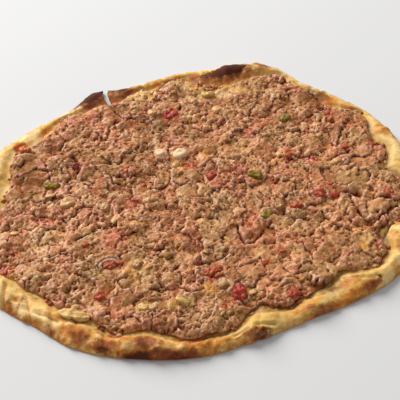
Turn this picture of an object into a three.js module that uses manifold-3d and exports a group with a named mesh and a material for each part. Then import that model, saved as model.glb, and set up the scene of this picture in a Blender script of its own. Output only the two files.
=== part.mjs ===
// Lahmacun: a thin hand-stretched flatbread baked under a crumbly layer of spiced mince,
// with diced onion, tomato and green pepper. Millimetres, +Z up. The bread lies flat with its
// longest way along X and its puffed front edge towards -Y. A turn is in degrees from +X.
import * as THREE from 'three';
import { mergeVertices } from 'three/addons/utils/BufferGeometryUtils.js';
import Module from 'manifold-3d';

const wasm = await Module();
wasm.setup();

// The bread's outer edge, pulled into corners by hand: [turn, reach from the middle].
const BREAD_EDGE = [
  [4, 147], [20, 148], [32, 145.5], [45, 140.5], [57, 137.5], [65, 143], [74, 142], [82, 133.5],
  [95, 126.5], [104, 122], [118, 120.5], [126, 128], [131, 126], [136, 123.5], [142, 124.5], [152, 132],
  [165, 143], [180, 147], [196, 149], [208, 154.5], [219, 153.5], [229, 147.5], [241, 146.5],
  [257, 139.5], [272, 133.5], [286, 126.7], [303, 125.7], [318, 134], [330, 142.5], [342, 146],
];

// The bare margin between the mince and the edge: [turn, width].
const BARE_MARGIN = [
  [0, 6], [10, 17], [18, 13], [25, 14], [32, 5], [38, 6], [45, 14], [51, 7], [60, 5], [66, 9],
  [76, 23], [86, 26], [92, 14], [98, 6], [108, 9], [118, 8], [124, 19], [133, 10], [141, 5.5],
  [150, 9], [158, 17], [164, 10], [173, 18], [184, 19], [198, 12], [210, 11], [221, 18],
  [230, 15], [238, 21], [246, 13], [256, 18], [264, 12], [276, 10], [282, 11], [289, 19],
  [298, 12], [310, 14], [321, 21], [328, 13], [336, 13], [343, 24], [351, 9],
];

// The rim's height above the dough floor, before it is thinned where the margin is narrow.
const RIM_HEIGHT = [
  [0, 3], [20, 4], [36, 2.5], [57, 2], [74, 5], [92, 2.5], [112, 2], [126, 3], [142, 2],
  [165, 3], [182, 3.5], [196, 4.2], [214, 5.6], [222, 4.4], [229, 4.6], [236, 3], [246, 4.6], [258, 5.4],
  [270, 4], [280, 3], [290, 4.2], [299, 3], [306, 4.4], [313, 3.2], [324, 5.2], [334, 5], [350, 4.4],
];

// Creases across the rim where the dough was pinched: [turn at the edge, depth, half width, lean].
const CREASES = [
  [199, 1.1, 2.6, -0.3], [207, 1.1, 2.4, -0.9], [216, 1.3, 2.4, -1.1], [225.5, 2.3, 2.2, -1.2],
  [232, 1.3, 2.4, -1], [239, 1.3, 2.4, -0.6], [247.5, 1.3, 2.6, -0.3], [256, 1, 2.6, 0.3],
  [264, 1.1, 2.6, 0.3], [272, 1, 2.6, 0.3], [280, 1.3, 2.6, 0.2], [293.5, 1.6, 2.6, 0.35],
  [301, 1.3, 2.4, -0.3], [313, 1.4, 2.6, 0.4], [322, 1.1, 2.4, -0.3], [331, 1.4, 2.4, -0.3],
  [341, 1.2, 2.4, 0.3], [352, 1.1, 2.6, 0.3], [68, 1.2, 2.4, 0.2],
];

// Blisters baked up in the bare dough: [x, y, radius, height].
const BLISTERS = [
  [122, -42, 10.5, 3.6], [113, -84, 8, 1.8], [70, -103, 7, 1.6], [36, -119, 8, 2.6],
  [-34, -129, 9, 1.6], [-69, -117, 8, 1.6], [-96, -112, 8, 1.6], [-116, -93, 8, 1.4],
  [22, 124, 11, 2.4], [44, 130, 8, 1.2], [133, 62, 7.5, 1.8], [-131, 16, 8, 1.2],
  [-133, -32, 8, 1.4], [137, -6, 6.5, 1.2], [-74, 97, 6, 1.2],
];

// Dough thicknesses and the rolled rim.
const DOUGH_FLOOR = 2.2; // dough under the mince
const EDGE_TOP = 1.8; // where the outer edge starts to roll over
const EDGE_BELLY = 1.1; // height of the edge's outermost line
const EDGE_LIFT = 0.6; // gap to the table under the very edge
const EDGE_ROUND = 0.9; // how far the belly stands out beyond the roll
const LIFT_WIDTH = 5; // width of the lifted strip under the edge
const CREST_SHARE = 0.58; // place of the rim's crest, as a share of the bare margin
const CREST_LEAST = 1.8;
const CREST_MOST = 10.5;
const SLOPE_WIDTH = 11; // widest inner slope of the rim
const RIM_PER_MARGIN = 0.42; // a narrow margin bakes to a low rim
const RIM_LEAST = 0.5;
const RIM_STEPS = [0, 0.17, 0.32, 0.46, 0.6, 0.73, 0.84, 0.93, 1]; // rings across the margin
const RIM_SECTORS = 180;

// A tear through the charred rim, from beyond the edge to the mince: [x, y, half width].
const TEAR = [
  [-68.5, 118, 1.9], [-67.6, 107, 1.6], [-67.6, 100, 1.5], [-66, 94, 1.5], [-63.5, 90.4, 1.6],
  [-61, 88.4, 0.8],
];

// The mince: a thin layer of lumps, pressed on by hand and shrunk in the oven.
const MINCE_GAP = 0.3; // air between the dough and the mince
const MINCE_THICK = 2.1;
const MINCE_EDGE = 0.9; // thickness at its broken outline
const MINCE_SHOULDER = 6; // width over which it thickens
const MINCE_RINGS = 29;
const MINCE_FRAY = 2.2; // how far crumbs stick out of the outline
const LUMPS = 620;
const LUMP_RADIUS = [4.2, 9.5];
const LUMP_RISE = [0.6, 2.5];

// Slabs of mince that stand a little higher than the rest: [x, y, radius, rise].
const SLABS = [
  [98, 14, 23, 0.9], [-113, 20, 17, 0.8], [118, -16, 15, 0.7], [78, -52, 26, 0.7],
  [-20, -14, 24, 0.6], [20, -30, 18, 0.5], [88, 74, 19, 0.7], [-58, 52, 24, 0.5],
  [-88, -70, 22, 0.8], [-30, -112, 15, 0.6], [4, -108, 13, 0.7], [78, 105, 15, 0.6],
  [-104, -28, 18, 0.4], [36, 62, 20, 0.5], [-48, -84, 16, 0.3],
];

// Cracks where the layer shrank apart: each is a line of [x, y].
const CRACKS = [
  [[69, 65], [77, 71], [90, 81]],
  [[89, 27], [96, 33], [104, 37]],
  [[65, 32], [75, 30], [82, 33]],
  [[99, -3], [108, -7], [124, -9]],
  [[100, -7], [102, -18], [111, -32]],
  [[111, -32], [121, -21], [129, -14]],
  [[25, -34], [29, -49], [41, -41], [46, -31]],
  [[51, -22], [61, -26], [70, -28]],
  [[45, 73], [57, 81], [66, 90]],
  [[-96, -94], [-89, -98], [-83, -103]],
  [[-76, -46], [-64, -39]],
  [[-84, 30], [-79, 20], [-86, 8]],
  [[50, 121], [51, 98], [54, 78]],
  [[-37, -51], [-30, -53], [-22, -54]],
];
const CRACK_DEPTH = 2;
const CRACK_WIDTH = 2.6; // half width of the opened V

// Diced vegetables: [x, y, length, width, turn, and a thickness where it isn't the usual one].
const ONION = [
  [-32.7, 75.7, 7, 6, 20], [-25.9, 33.9, 7.5, 6.5, 50], [-12.3, 32.9, 10, 7.5, 25],
  [-84.7, -13.2, 12.5, 8, 35], [-60.9, -17.8, 9, 8.5, 80], [-73.5, -107, 20, 9, 172, 1.7],
  [-4.4, 90, 7.5, 6, 60], [7.1, 96.7, 10, 5, 15], [13.4, 80, 8, 7, 40],
  [25.8, 30.9, 8, 7.5, 5], [52.6, -16, 7.5, 6, 70], [14.7, -82.7, 9, 8, 30],
  [-8.9, -96, 10.5, 6.5, 165], [-32.6, -101.4, 7, 6, 10], [-37.6, -66.4, 8.5, 7, 55],
  [93.2, 25.9, 9, 5, 30],
];
const TOMATO = [
  [-19.9, 75.7, 10, 8.5, 35], [9.3, 12.2, 7, 6, 0], [25.4, -89.8, 12.5, 9, 100],
  [80.1, -4.9, 9, 6.5, 10], [89.9, -5.4, 6.5, 6, 75], [64.3, -16, 9, 5.5, 20],
  [9.3, -72.2, 13, 5.5, 28], [-54.2, -68.1, 10, 5.5, 8], [57.3, -90.6, 7, 5.5, 50],
  [-58.7, -93.7, 8, 5, 165], [-82.9, 21.9, 7, 6, 120], [-118.5, 38, 9, 5, 15],
];
const GREEN_PEPPER = [
  [-96.6, 2.6, 11.5, 6, 170], [38, 13.2, 9.5, 6, 160], [61.2, 71.4, 9, 6.5, 20],
  [44.5, -24.2, 10, 5.5, 75],
];
const DICE_THICK = 3; // usual thickness of a diced piece
const DICE_SUNK = 2.2; // depth to which it is pressed into the mince
const DICE_GAP = 0.3; // air round it in its pocket
const DICE_BOW = 0.7; // how far its ends curve down
const DICE_CORNER = 0.22; // share by which its corners are pulled in
const DICE_UNEVEN = 0.07; // random share by which its corners are moved
const DICE_TILT = 14; // most degrees that it leans with what it lies on
const POCKET_SPREAD = 0.85; // how much longer and wider its pocket is
const POCKET_REACH = 12; // height of the cut that opens its pocket upwards

const WELD = 0.008; // corners closer than this are one

// A seeded row of random numbers from 0 to 1.
function draws(seed) {
  let state = seed;
  return () => {
    state = (state * 1664525 + 1013904223) % 4294967296;
    return state / 4294967296;
  };
}

const between = (low, high, share) => low + (high - low) * share;
const clamp = THREE.MathUtils.clamp;
const smooth = THREE.MathUtils.smoothstep;
const radians = THREE.MathUtils.degToRad;

// A smooth closed curve through [turn, value] pairs, as a function of the turn.
function around(pairs) {
  const count = pairs.length;
  const wrap = (i) => ((i % count) + count) % count;
  const turn = (i) => pairs[wrap(i)][0] + 360 * Math.floor(i / count);
  const value = (i) => pairs[wrap(i)][1];
  const slope = (i) => (value(i + 1) - value(i - 1)) / (turn(i + 1) - turn(i - 1));
  return (degrees) => {
    const start = pairs[0][0];
    const at = ((((degrees - start) % 360) + 360) % 360) + start;
    let i = 0;
    while (i < count - 1 && turn(i + 1) <= at) i += 1;
    const gap = turn(i + 1) - turn(i);
    const u = (at - turn(i)) / gap;
    const fromValues = value(i) * (1 + 2 * u) * (1 - u) ** 2 + value(i + 1) * u * u * (3 - 2 * u);
    const fromSlopes = slope(i) * u * (1 - u) ** 2 + slope(i + 1) * u * u * (u - 1);
    return fromValues + gap * fromSlopes;
  };
}

const breadEdge = around(BREAD_EDGE);
const bareMargin = around(BARE_MARGIN);
const rimHeight = around(RIM_HEIGHT);

// The mince's broken outline: the bread's edge less the margin, frayed by a few uneven waves.
function minceEdge(degrees) {
  const a = radians(degrees);
  const waves = Math.sin(23 * a + 1) + 0.8 * Math.sin(37 * a + 4) + 0.7 * Math.sin(61 * a + 2);
  return breadEdge(degrees) - bareMargin(degrees) + MINCE_FRAY * (waves / 2.5 - 0.4);
}

// A closed body from rings of [x, y, z] points, the first and last of which are single points.
// The rings run outwards over the top, down the side and inwards underneath.
function skin(rings) {
  const positions = rings.flat(2);
  const starts = [];
  let total = 0;
  rings.forEach((ring) => {
    starts.push(total);
    total += ring.length;
  });
  const faces = [];
  for (let k = 0; k + 1 < rings.length; k += 1) {
    const inner = rings[k].length;
    const outer = rings[k + 1].length;
    let i = 0;
    let j = 0;
    while (i < inner || j < outer) {
      const a = starts[k] + (i % inner);
      const b = starts[k + 1] + (j % outer);
      if (j === outer || (i < inner && (i + 1) / inner <= (j + 1) / outer)) {
        if (inner > 1) faces.push(a, b, starts[k] + ((i + 1) % inner));
        i += 1;
      } else {
        if (outer > 1) faces.push(a, b, starts[k + 1] + ((j + 1) % outer));
        j += 1;
      }
    }
  }
  const geometry = new THREE.BufferGeometry();
  geometry.setAttribute('position', new THREE.Float32BufferAttribute(positions, 3));
  geometry.setIndex(faces);
  return geometry;
}

// One ring of evenly turned points, each placed by its turn.
function ring(count, place) {
  return Array.from({ length: count }, (_, i) => place((360 * i) / count));
}

function polar(degrees, reach, z) {
  return [reach * Math.cos(radians(degrees)), reach * Math.sin(radians(degrees)), z];
}

function toSolid(geometry) {
  const vertProperties = new Float32Array(geometry.attributes.position.array);
  const triVerts = new Uint32Array(geometry.index.array);
  return new wasm.Manifold(new wasm.Mesh({ numProp: 3, vertProperties, triVerts }));
}

// A cut solid as a geometry, with the corners that all but touch made one.
function toGeometry(solid) {
  const mesh = solid.getMesh();
  const geometry = new THREE.BufferGeometry();
  geometry.setAttribute('position', new THREE.BufferAttribute(mesh.vertProperties, 3));
  geometry.setIndex(new THREE.BufferAttribute(mesh.triVerts, 1));
  const welded = mergeVertices(geometry, WELD);
  const faces = [];
  for (let i = 0; i < welded.index.count; i += 3) {
    const [a, b, c] = welded.index.array.slice(i, i + 3);
    if (a !== b && b !== c && c !== a) faces.push(a, b, c);
  }
  welded.setIndex(faces);
  return welded;
}

// ---- The crust ----

function creaseDepth(degrees, fromEdge) {
  let depth = 0;
  CREASES.forEach(([turn, deepest, halfWidth, lean]) => {
    const aside = ((degrees - turn + 540) % 360) - 180;
    const across = radians(aside) * breadEdge(turn) - lean * fromEdge;
    depth = Math.max(depth, deepest * (1 - smooth(Math.abs(across), 0, 2 * halfWidth)));
  });
  return depth;
}

function blisterRise(x, y) {
  let rise = 0;
  BLISTERS.forEach(([cx, cy, radius, height]) => {
    const share = Math.hypot(x - cx, y - cy) / radius;
    rise = Math.max(rise, share < 1 ? height * (1 - share * share) : 0);
  });
  return rise;
}

// Height of the crust's top at a turn and a distance in from the bread's edge.
function crustTop(degrees, fromEdge) {
  const margin = breadEdge(degrees) - minceEdge(degrees);
  const crest = clamp(CREST_SHARE * margin, CREST_LEAST, CREST_MOST);
  const height = Math.min(rimHeight(degrees), RIM_PER_MARGIN * margin + RIM_LEAST);
  const slope = Math.min(margin - crest, SLOPE_WIDTH);
  const [x, y] = polar(degrees, breadEdge(degrees) - fromEdge, 0);
  const inside = smooth(margin - fromEdge, 0, 0.3 * margin);
  const bare = inside * (blisterRise(x, y) - creaseDepth(degrees, fromEdge));
  if (fromEdge < crest) {
    const roll = Math.sqrt(1 - (1 - fromEdge / crest) ** 2);
    return EDGE_TOP + (DOUGH_FLOOR + height - EDGE_TOP + bare) * roll;
  }
  const fall = 1 - smooth(fromEdge - crest, 0, slope);
  return DOUGH_FLOOR + height * fall + Math.max(bare, -0.8 * height * fall);
}

function crustRings() {
  const rings = [[[0, 0, DOUGH_FLOOR]]];
  [[30, 45], [90, 88]].forEach(([count, reach]) => {
    rings.push(ring(count, (turn) => polar(turn, reach, DOUGH_FLOOR)));
  });
  RIM_STEPS.forEach((step) => {
    rings.push(ring(RIM_SECTORS, (turn) => {
      const fromEdge = (breadEdge(turn) - minceEdge(turn)) * (1 - step);
      return polar(turn, breadEdge(turn) - fromEdge, step === 0 ? DOUGH_FLOOR : crustTop(turn, fromEdge));
    }));
  });
  rings.push(ring(RIM_SECTORS, (turn) => polar(turn, breadEdge(turn) + EDGE_ROUND, EDGE_BELLY)));
  rings.push(ring(RIM_SECTORS, (turn) => polar(turn, breadEdge(turn) - 0.2, EDGE_LIFT)));
  rings.push(ring(RIM_SECTORS / 2, (turn) => polar(turn, breadEdge(turn) - LIFT_WIDTH, 0)));
  rings.push(ring(30, (turn) => polar(turn, 60, 0)));
  rings.push([[0, 0, 0]]);
  return rings;
}

// The tear as a flat upright wedge through the whole thickness.
function tearCutter() {
  const outline = new THREE.Shape();
  TEAR.forEach(([x, y, half], i) => (i ? outline.lineTo(x - half, y) : outline.moveTo(x - half, y)));
  [...TEAR].reverse().forEach(([x, y, half]) => outline.lineTo(x + half, y));
  const wedge = new THREE.ExtrudeGeometry(outline, { depth: 30, bevelEnabled: false, steps: 1 });
  wedge.translate(0, 0, -10);
  return toSolid(shared(wedge));
}

// The same shape with its corners shared, so that it is one closed mesh.
function shared(geometry) {
  geometry.deleteAttribute('normal');
  geometry.deleteAttribute('uv');
  return mergeVertices(geometry);
}

// ---- The mince ----

function lumpField() {
  const draw = draws(71);
  return Array.from({ length: LUMPS }, () => {
    const turn = 360 * draw();
    const reach = 145 * Math.sqrt(draw());
    const [x, y] = polar(turn, reach, 0);
    const radius = between(...LUMP_RADIUS, draw() ** 1.5);
    return { x, y, radius, rise: between(...LUMP_RISE, draw()) };
  });
}

const lumps = lumpField();

function lumpRise(x, y) {
  let rise = 0;
  lumps.forEach((lump) => {
    const share = Math.hypot(x - lump.x, y - lump.y) / lump.radius;
    if (share < 1) rise = Math.max(rise, lump.rise * Math.sqrt(1 - share * share));
  });
  return rise;
}

function slabRise(x, y) {
  let rise = 0;
  SLABS.forEach(([cx, cy, radius, height]) => {
    const share = Math.hypot(x - cx, y - cy) / radius;
    rise = Math.max(rise, height * (1 - smooth(share, 0.72, 1)));
  });
  return rise;
}

function distanceToLine(x, y, line) {
  let nearest = Infinity;
  for (let i = 0; i + 1 < line.length; i += 1) {
    const [ax, ay] = line[i];
    const [dx, dy] = [line[i + 1][0] - ax, line[i + 1][1] - ay];
    const along = clamp(((x - ax) * dx + (y - ay) * dy) / (dx * dx + dy * dy), 0, 1);
    nearest = Math.min(nearest, Math.hypot(x - ax - along * dx, y - ay - along * dy));
  }
  return nearest;
}

function crackDepth(x, y) {
  const nearest = Math.min(...CRACKS.map((line) => distanceToLine(x, y, line)));
  return CRACK_DEPTH * Math.max(0, 1 - nearest / CRACK_WIDTH);
}

// Height of the mince's top, thinning to its broken outline.
function minceTop(x, y) {
  const turn = THREE.MathUtils.radToDeg(Math.atan2(y, x));
  const inward = clamp((minceEdge(turn) - Math.hypot(x, y)) / MINCE_SHOULDER, 0, 1);
  const shoulder = Math.sqrt(1 - (1 - inward) ** 2);
  const body = between(MINCE_EDGE, MINCE_THICK, shoulder);
  const relief = lumpRise(x, y) + slabRise(x, y) * shoulder - crackDepth(x, y) * shoulder;
  return DOUGH_FLOOR + MINCE_GAP + Math.max(MINCE_EDGE, body + relief * between(0.35, 1, shoulder));
}

// Rings of six more points each, so that the faces are all about as large.
function minceRings() {
  const draw = draws(9);
  const bottom = DOUGH_FLOOR + MINCE_GAP;
  const rings = [[[0, 0, minceTop(0, 0)]]];
  for (let k = 1; k <= MINCE_RINGS; k += 1) {
    const share = k / MINCE_RINGS;
    const follow = smooth(share, 0.3, 1);
    const loose = k === MINCE_RINGS ? 0 : 0.9;
    rings.push(ring(6 * k, (turn) => {
      const reach = share * between(126, minceEdge(turn), follow) + loose * (draw() - 0.5);
      const [x, y] = polar(turn + (loose * (draw() - 0.5) * 20) / k, reach, 0);
      return [x, y, minceTop(x, y)];
    }));
  }
  rings.push(ring(6 * MINCE_RINGS, (turn) => polar(turn, minceEdge(turn) - 0.4, bottom)));
  rings.push(ring(30, (turn) => polar(turn, 70, bottom)));
  rings.push([[0, 0, bottom]]);
  return rings;
}

// ---- The diced vegetables ----

// A slab with rounded, uneven corners, bowed like a layer of onion or a piece of skin.
function dice(length, width, thick, draw) {
  const slab = shared(new THREE.BoxGeometry(length, width, thick, 2, 2, 1));
  const at = slab.attributes.position;
  for (let i = 0; i < at.count; i += 1) {
    const along = (2 * at.getX(i)) / length;
    const across = (2 * at.getY(i)) / width;
    const pull = 1 - DICE_CORNER * (along * across) ** 2;
    const up = at.getZ(i) > 0 ? 1 : -1;
    const inset = up > 0 ? 0.88 : 1;
    at.setX(i, at.getX(i) * pull * inset * (1 + DICE_UNEVEN * (draw() - 0.5) * 2));
    at.setY(i, at.getY(i) * pull * inset * (1 + DICE_UNEVEN * (draw() - 0.5) * 2));
    at.setZ(i, at.getZ(i) - DICE_BOW * along * along + 0.3 * (draw() - 0.5));
  }
  return slab;
}

// The pocket that a diced piece leaves in the mince: the piece grown by its gap, open upwards.
function pocket(geometry, length, width) {
  const hole = geometry.clone();
  const at = hole.attributes.position;
  for (let i = 0; i < at.count; i += 1) {
    at.setX(i, at.getX(i) * (1 + POCKET_SPREAD / length));
    at.setY(i, at.getY(i) * (1 + POCKET_SPREAD / width));
    at.setZ(i, at.getZ(i) + (at.getZ(i) > 0 ? POCKET_REACH : -DICE_GAP));
  }
  return hole;
}

const crustMaterial = new THREE.MeshStandardMaterial({ color: 0xe3bd7c, roughness: 0.75, metalness: 0 });
const minceMaterial = new THREE.MeshStandardMaterial({ color: 0xa5714e, roughness: 0.7, metalness: 0 });
const onionMaterial = new THREE.MeshStandardMaterial({ color: 0xe2c896, roughness: 0.35, metalness: 0 });
const tomatoMaterial = new THREE.MeshStandardMaterial({ color: 0xb8452c, roughness: 0.35, metalness: 0 });
const pepperMaterial = new THREE.MeshStandardMaterial({ color: 0x8a8f3c, roughness: 0.4, metalness: 0 });

// Height of the dough anywhere, and of whatever lies open to the sky there.
function doughAt(x, y) {
  const turn = THREE.MathUtils.radToDeg(Math.atan2(y, x));
  const fromEdge = breadEdge(turn) - Math.hypot(x, y);
  return fromEdge < breadEdge(turn) - minceEdge(turn) ? crustTop(turn, Math.max(fromEdge, 0)) : DOUGH_FLOOR;
}

function surfaceAt(x, y) {
  const turn = THREE.MathUtils.radToDeg(Math.atan2(y, x));
  return Math.hypot(x, y) < minceEdge(turn) ? minceTop(x, y) - DICE_SUNK : doughAt(x, y) + DICE_GAP;
}

// How far a surface leans over a given length in a given direction.
function leanAlong(x, y, turn, length) {
  const [dx, dy] = polar(turn, length / 2, 0);
  const rise = surfaceAt(x + dx, y + dy) - surfaceAt(x - dx, y - dy);
  return clamp(Math.atan2(rise, length), -radians(DICE_TILT), radians(DICE_TILT));
}

// How far a piece has to be raised to clear the dough and the mince's underside.
function shortage(geometry) {
  const at = geometry.attributes.position;
  let most = 0;
  for (let i = 0; i < at.count; i += 1) {
    const clear = doughAt(at.getX(i), at.getY(i)) + MINCE_GAP + 2 * DICE_GAP;
    most = Math.max(most, clear - at.getZ(i));
  }
  return most;
}

function placePiece(name, [x, y, length, width, turn, thick = DICE_THICK], material, draw) {
  const piece = new THREE.Mesh(dice(length, width, thick, draw), material);
  piece.name = name;
  piece.position.set(x, y, surfaceAt(x, y) + thick / 2);
  const alongLean = -leanAlong(x, y, turn, length);
  const acrossLean = leanAlong(x, y, turn + 90, width);
  piece.rotation.set(acrossLean, alongLean, radians(turn), 'ZYX');
  piece.updateMatrixWorld(true);
  piece.position.z += shortage(piece.geometry.clone().applyMatrix4(piece.matrixWorld));
  piece.updateMatrixWorld(true);
  piece.userData.pocket = pocket(piece.geometry, length, width).applyMatrix4(piece.matrixWorld);
  return piece;
}

const scatter = draws(2024);
const vegetables = [
  ...ONION.map((row, i) => placePiece(`onion_${i + 1}`, row, onionMaterial, scatter)),
  ...TOMATO.map((row, i) => placePiece(`tomato_${i + 1}`, row, tomatoMaterial, scatter)),
  ...GREEN_PEPPER.map((row, i) => placePiece(`green_pepper_${i + 1}`, row, pepperMaterial, scatter)),
];

const crust = new THREE.Mesh(
  toGeometry(toSolid(skin(crustRings())).subtract(tearCutter())),
  crustMaterial,
);
crust.name = 'crust';

let minceSolid = toSolid(skin(minceRings()));
vegetables.forEach((piece) => {
  minceSolid = minceSolid.subtract(toSolid(piece.userData.pocket));
  delete piece.userData.pocket;
});
const mince = new THREE.Mesh(toGeometry(minceSolid), minceMaterial);
mince.name = 'mince';

// The whole, with its origin under the middle of its bounding box.
const lahmacun = new THREE.Group();
lahmacun.add(crust, mince, ...vegetables);
const middle = new THREE.Box3().setFromObject(lahmacun);
lahmacun.position.set(
  -(middle.min.x + middle.max.x) / 2,
  -(middle.min.y + middle.max.y) / 2,
  -middle.min.z,
);

export default lahmacun;
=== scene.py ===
import math

import bmesh
import bpy
import numpy as np
from mathutils import Matrix, Vector, noise
from mathutils.bvhtree import BVHTree


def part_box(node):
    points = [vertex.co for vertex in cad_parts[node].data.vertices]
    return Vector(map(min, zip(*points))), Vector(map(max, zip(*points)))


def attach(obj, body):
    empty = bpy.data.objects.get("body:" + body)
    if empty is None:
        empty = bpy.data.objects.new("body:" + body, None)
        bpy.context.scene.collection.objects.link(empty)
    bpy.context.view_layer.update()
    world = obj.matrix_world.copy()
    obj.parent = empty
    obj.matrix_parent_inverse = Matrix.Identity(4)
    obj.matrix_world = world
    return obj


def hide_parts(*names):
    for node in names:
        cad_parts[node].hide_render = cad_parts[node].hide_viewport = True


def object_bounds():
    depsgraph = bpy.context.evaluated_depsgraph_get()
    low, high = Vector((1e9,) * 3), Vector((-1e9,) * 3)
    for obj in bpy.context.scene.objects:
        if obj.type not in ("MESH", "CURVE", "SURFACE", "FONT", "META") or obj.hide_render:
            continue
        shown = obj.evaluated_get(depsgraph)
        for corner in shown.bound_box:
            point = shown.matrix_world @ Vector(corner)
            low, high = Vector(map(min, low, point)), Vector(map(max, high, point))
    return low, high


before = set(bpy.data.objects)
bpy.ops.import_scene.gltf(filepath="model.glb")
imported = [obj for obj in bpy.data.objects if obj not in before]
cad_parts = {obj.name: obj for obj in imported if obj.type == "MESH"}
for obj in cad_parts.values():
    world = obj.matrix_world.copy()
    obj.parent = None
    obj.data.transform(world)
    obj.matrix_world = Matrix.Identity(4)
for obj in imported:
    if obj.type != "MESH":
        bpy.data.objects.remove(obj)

cad_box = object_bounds()
scene = bpy.context.scene
MM = 0.001


# ---- The table, the light and the view ----
# The bread lies on a plain pale table inside a tent of white cloth. A large soft lamp stands at the back
# left, and the white walls fill the shadows. The view is from the front, 45 degrees above the table.
TABLE_SIZE = 5.0
TABLE_DROP = 0.05 * MM
TABLE_COLOUR = (224, 224, 224)
TABLE_ROUGHNESS = 0.75
TABLE_GLOSS = 0.2
AIM = Vector((1.5, -5.5, 0)) * MM
VIEW_HEIGHT = math.radians(45)
VIEW_DISTANCE = 733.3 * MM
LENS = 100
SENSOR = 36
LAMP_PLACE = Vector((-1.56, 1.88, 1.5))
LAMP_SIZE = 2.0
LAMP_POWER = 119
FILL_STRENGTH = 0.36
LIGHT_COLOUR = (1.0, 0.993, 0.982)


def paint(red, green, blue):
    """The linear colour of a paint given as 0 to 255, as it shows on a screen."""
    shares = [part / 255 for part in (red, green, blue)]
    return [part / 12.92 if part < 0.04 else ((part + 0.055) / 1.055) ** 2.4 for part in shares] + [1]


def new_material(name, roughness):
    material = bpy.data.materials.new(name)
    material.use_nodes = True
    shader = material.node_tree.nodes["Principled BSDF"]
    shader.inputs["Roughness"].default_value = roughness
    return material, shader


table_material, table_shader = new_material("table_paint", TABLE_ROUGHNESS)
table_shader.inputs["Base Color"].default_value = paint(*TABLE_COLOUR)
table_shader.inputs["Specular IOR Level"].default_value = TABLE_GLOSS
table_work = bmesh.new()
bmesh.ops.create_grid(table_work, x_segments=2, y_segments=2, size=TABLE_SIZE)
bmesh.ops.translate(table_work, verts=table_work.verts, vec=(0, 0, -TABLE_DROP))
table_mesh = bpy.data.meshes.new("table")
table_work.to_mesh(table_mesh)
table_work.free()
table_mesh.materials.append(table_material)
table = bpy.data.objects.new("table", table_mesh)
scene.collection.objects.link(table)

lamp_data = bpy.data.lights.new("tent_lamp", "AREA")
lamp_data.shape = "DISK"
lamp_data.size = LAMP_SIZE
lamp_data.energy = LAMP_POWER
lamp_data.color = LIGHT_COLOUR
lamp = bpy.data.objects.new("tent_lamp", lamp_data)
lamp.location = LAMP_PLACE
lamp.rotation_euler = (-LAMP_PLACE).to_track_quat("-Z", "Y").to_euler()
scene.collection.objects.link(lamp)

world = bpy.data.worlds.new("tent_walls")
world.use_nodes = True
world.node_tree.nodes["Background"].inputs["Color"].default_value = (*LIGHT_COLOUR, 1)
world.node_tree.nodes["Background"].inputs["Strength"].default_value = FILL_STRENGTH
scene.world = world
scene.view_settings.view_transform = "Standard"

camera_data = bpy.data.cameras.new("camera")
camera_data.lens = LENS
camera_data.sensor_width = SENSOR
camera = bpy.data.objects.new("camera", camera_data)
back = Vector((0, -math.cos(VIEW_HEIGHT), math.sin(VIEW_HEIGHT)))
camera.location = AIM + back * VIEW_DISTANCE
camera.rotation_euler = (-back).to_track_quat("-Z", "Y").to_euler()
scene.collection.objects.link(camera)
scene.camera = camera


# ---- The crust ----
# One thin sheet of wheat dough, stretched by hand and baked on hot stone. Its rim is puffed, pinched
# into folds, browned in spots, charred here and there at its edge, and torn through at the back left.
SKIN_LEVELS = 2
WELD = 0.002 * MM
TOP_GAP = 0.05 * MM
SECTORS = 120
DOUGH_WAVE = 0.5 * MM
WAVE_SIZE = 8 * MM
WAVE_SUNK = 0.35
DOUGH_GRAIN = 0.16 * MM
GRAIN_SIZE = 2.1 * MM
CREAM = (240, 194, 112)
PALE = (250, 218, 154)
GOLDEN = (216, 150, 68)
AMBER = (192, 108, 40)
RUST = (180, 104, 50)
BROWN = (136, 70, 38)
CHAR = (90, 50, 40)
OILED = (216, 172, 90)
RED_OIL = (196, 88, 36)
JUICE_AND_SHADOW_BROWN = (136, 86, 40)
CREASE_SHADE = (92, 62, 24)
FLOURY = (208, 162, 110)
TOASTED = (140, 90, 54)

# Where the bake of the low edge and of the rim's crest fades out, in millimetres in from the edge.
LOW_EDGE = (0.0, 6.5)
CREST = (2, 11)

# Folds pinched over the rim: [turn at the edge, lean, half width, height], in degrees and millimetres.
# The lean is how far a fold drifts aside for each millimetre inwards.
FOLDS = [
    (187, -0.4, 3.4, 0.5), (196, -0.6, 3.0, 0.6), (204, -0.9, 3.2, 0.8), (211.5, -1.1, 2.8, 0.8),
    (219, -1.1, 3.2, 1.1), (227, -1.2, 2.8, 1.2), (233.5, -1.0, 2.6, 0.8), (240, -0.8, 3.0, 1.0),
    (247, -0.5, 2.6, 0.7), (253, -0.3, 2.8, 0.8), (259, 0.3, 2.4, 0.7), (265, 0.4, 2.6, 0.9),
    (271, 0.4, 2.4, 0.6), (277, 0.3, 2.6, 0.7), (284, 0.5, 2.6, 0.6), (291, 0.5, 2.8, 0.3),
    (299, 0.4, 2.8, 0.5), (309, 0.4, 2.8, 0.6), (318, 0.4, 2.8, 0.5), (328, 0.3, 2.6, 0.6),
    (335, -0.4, 2.6, 0.7), (342, 0.3, 2.4, 0.5), (350, 0.3, 2.2, 0.6), (8, 0.4, 2.4, 0.5),
    (24, 0.2, 2.4, 0.5), (48, 0.3, 2.0, 0.6), (72, 0.3, 2.4, 0.8), (82, -0.3, 2.6, 0.6),
    (176, -0.3, 2.6, 0.5),
]

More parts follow.
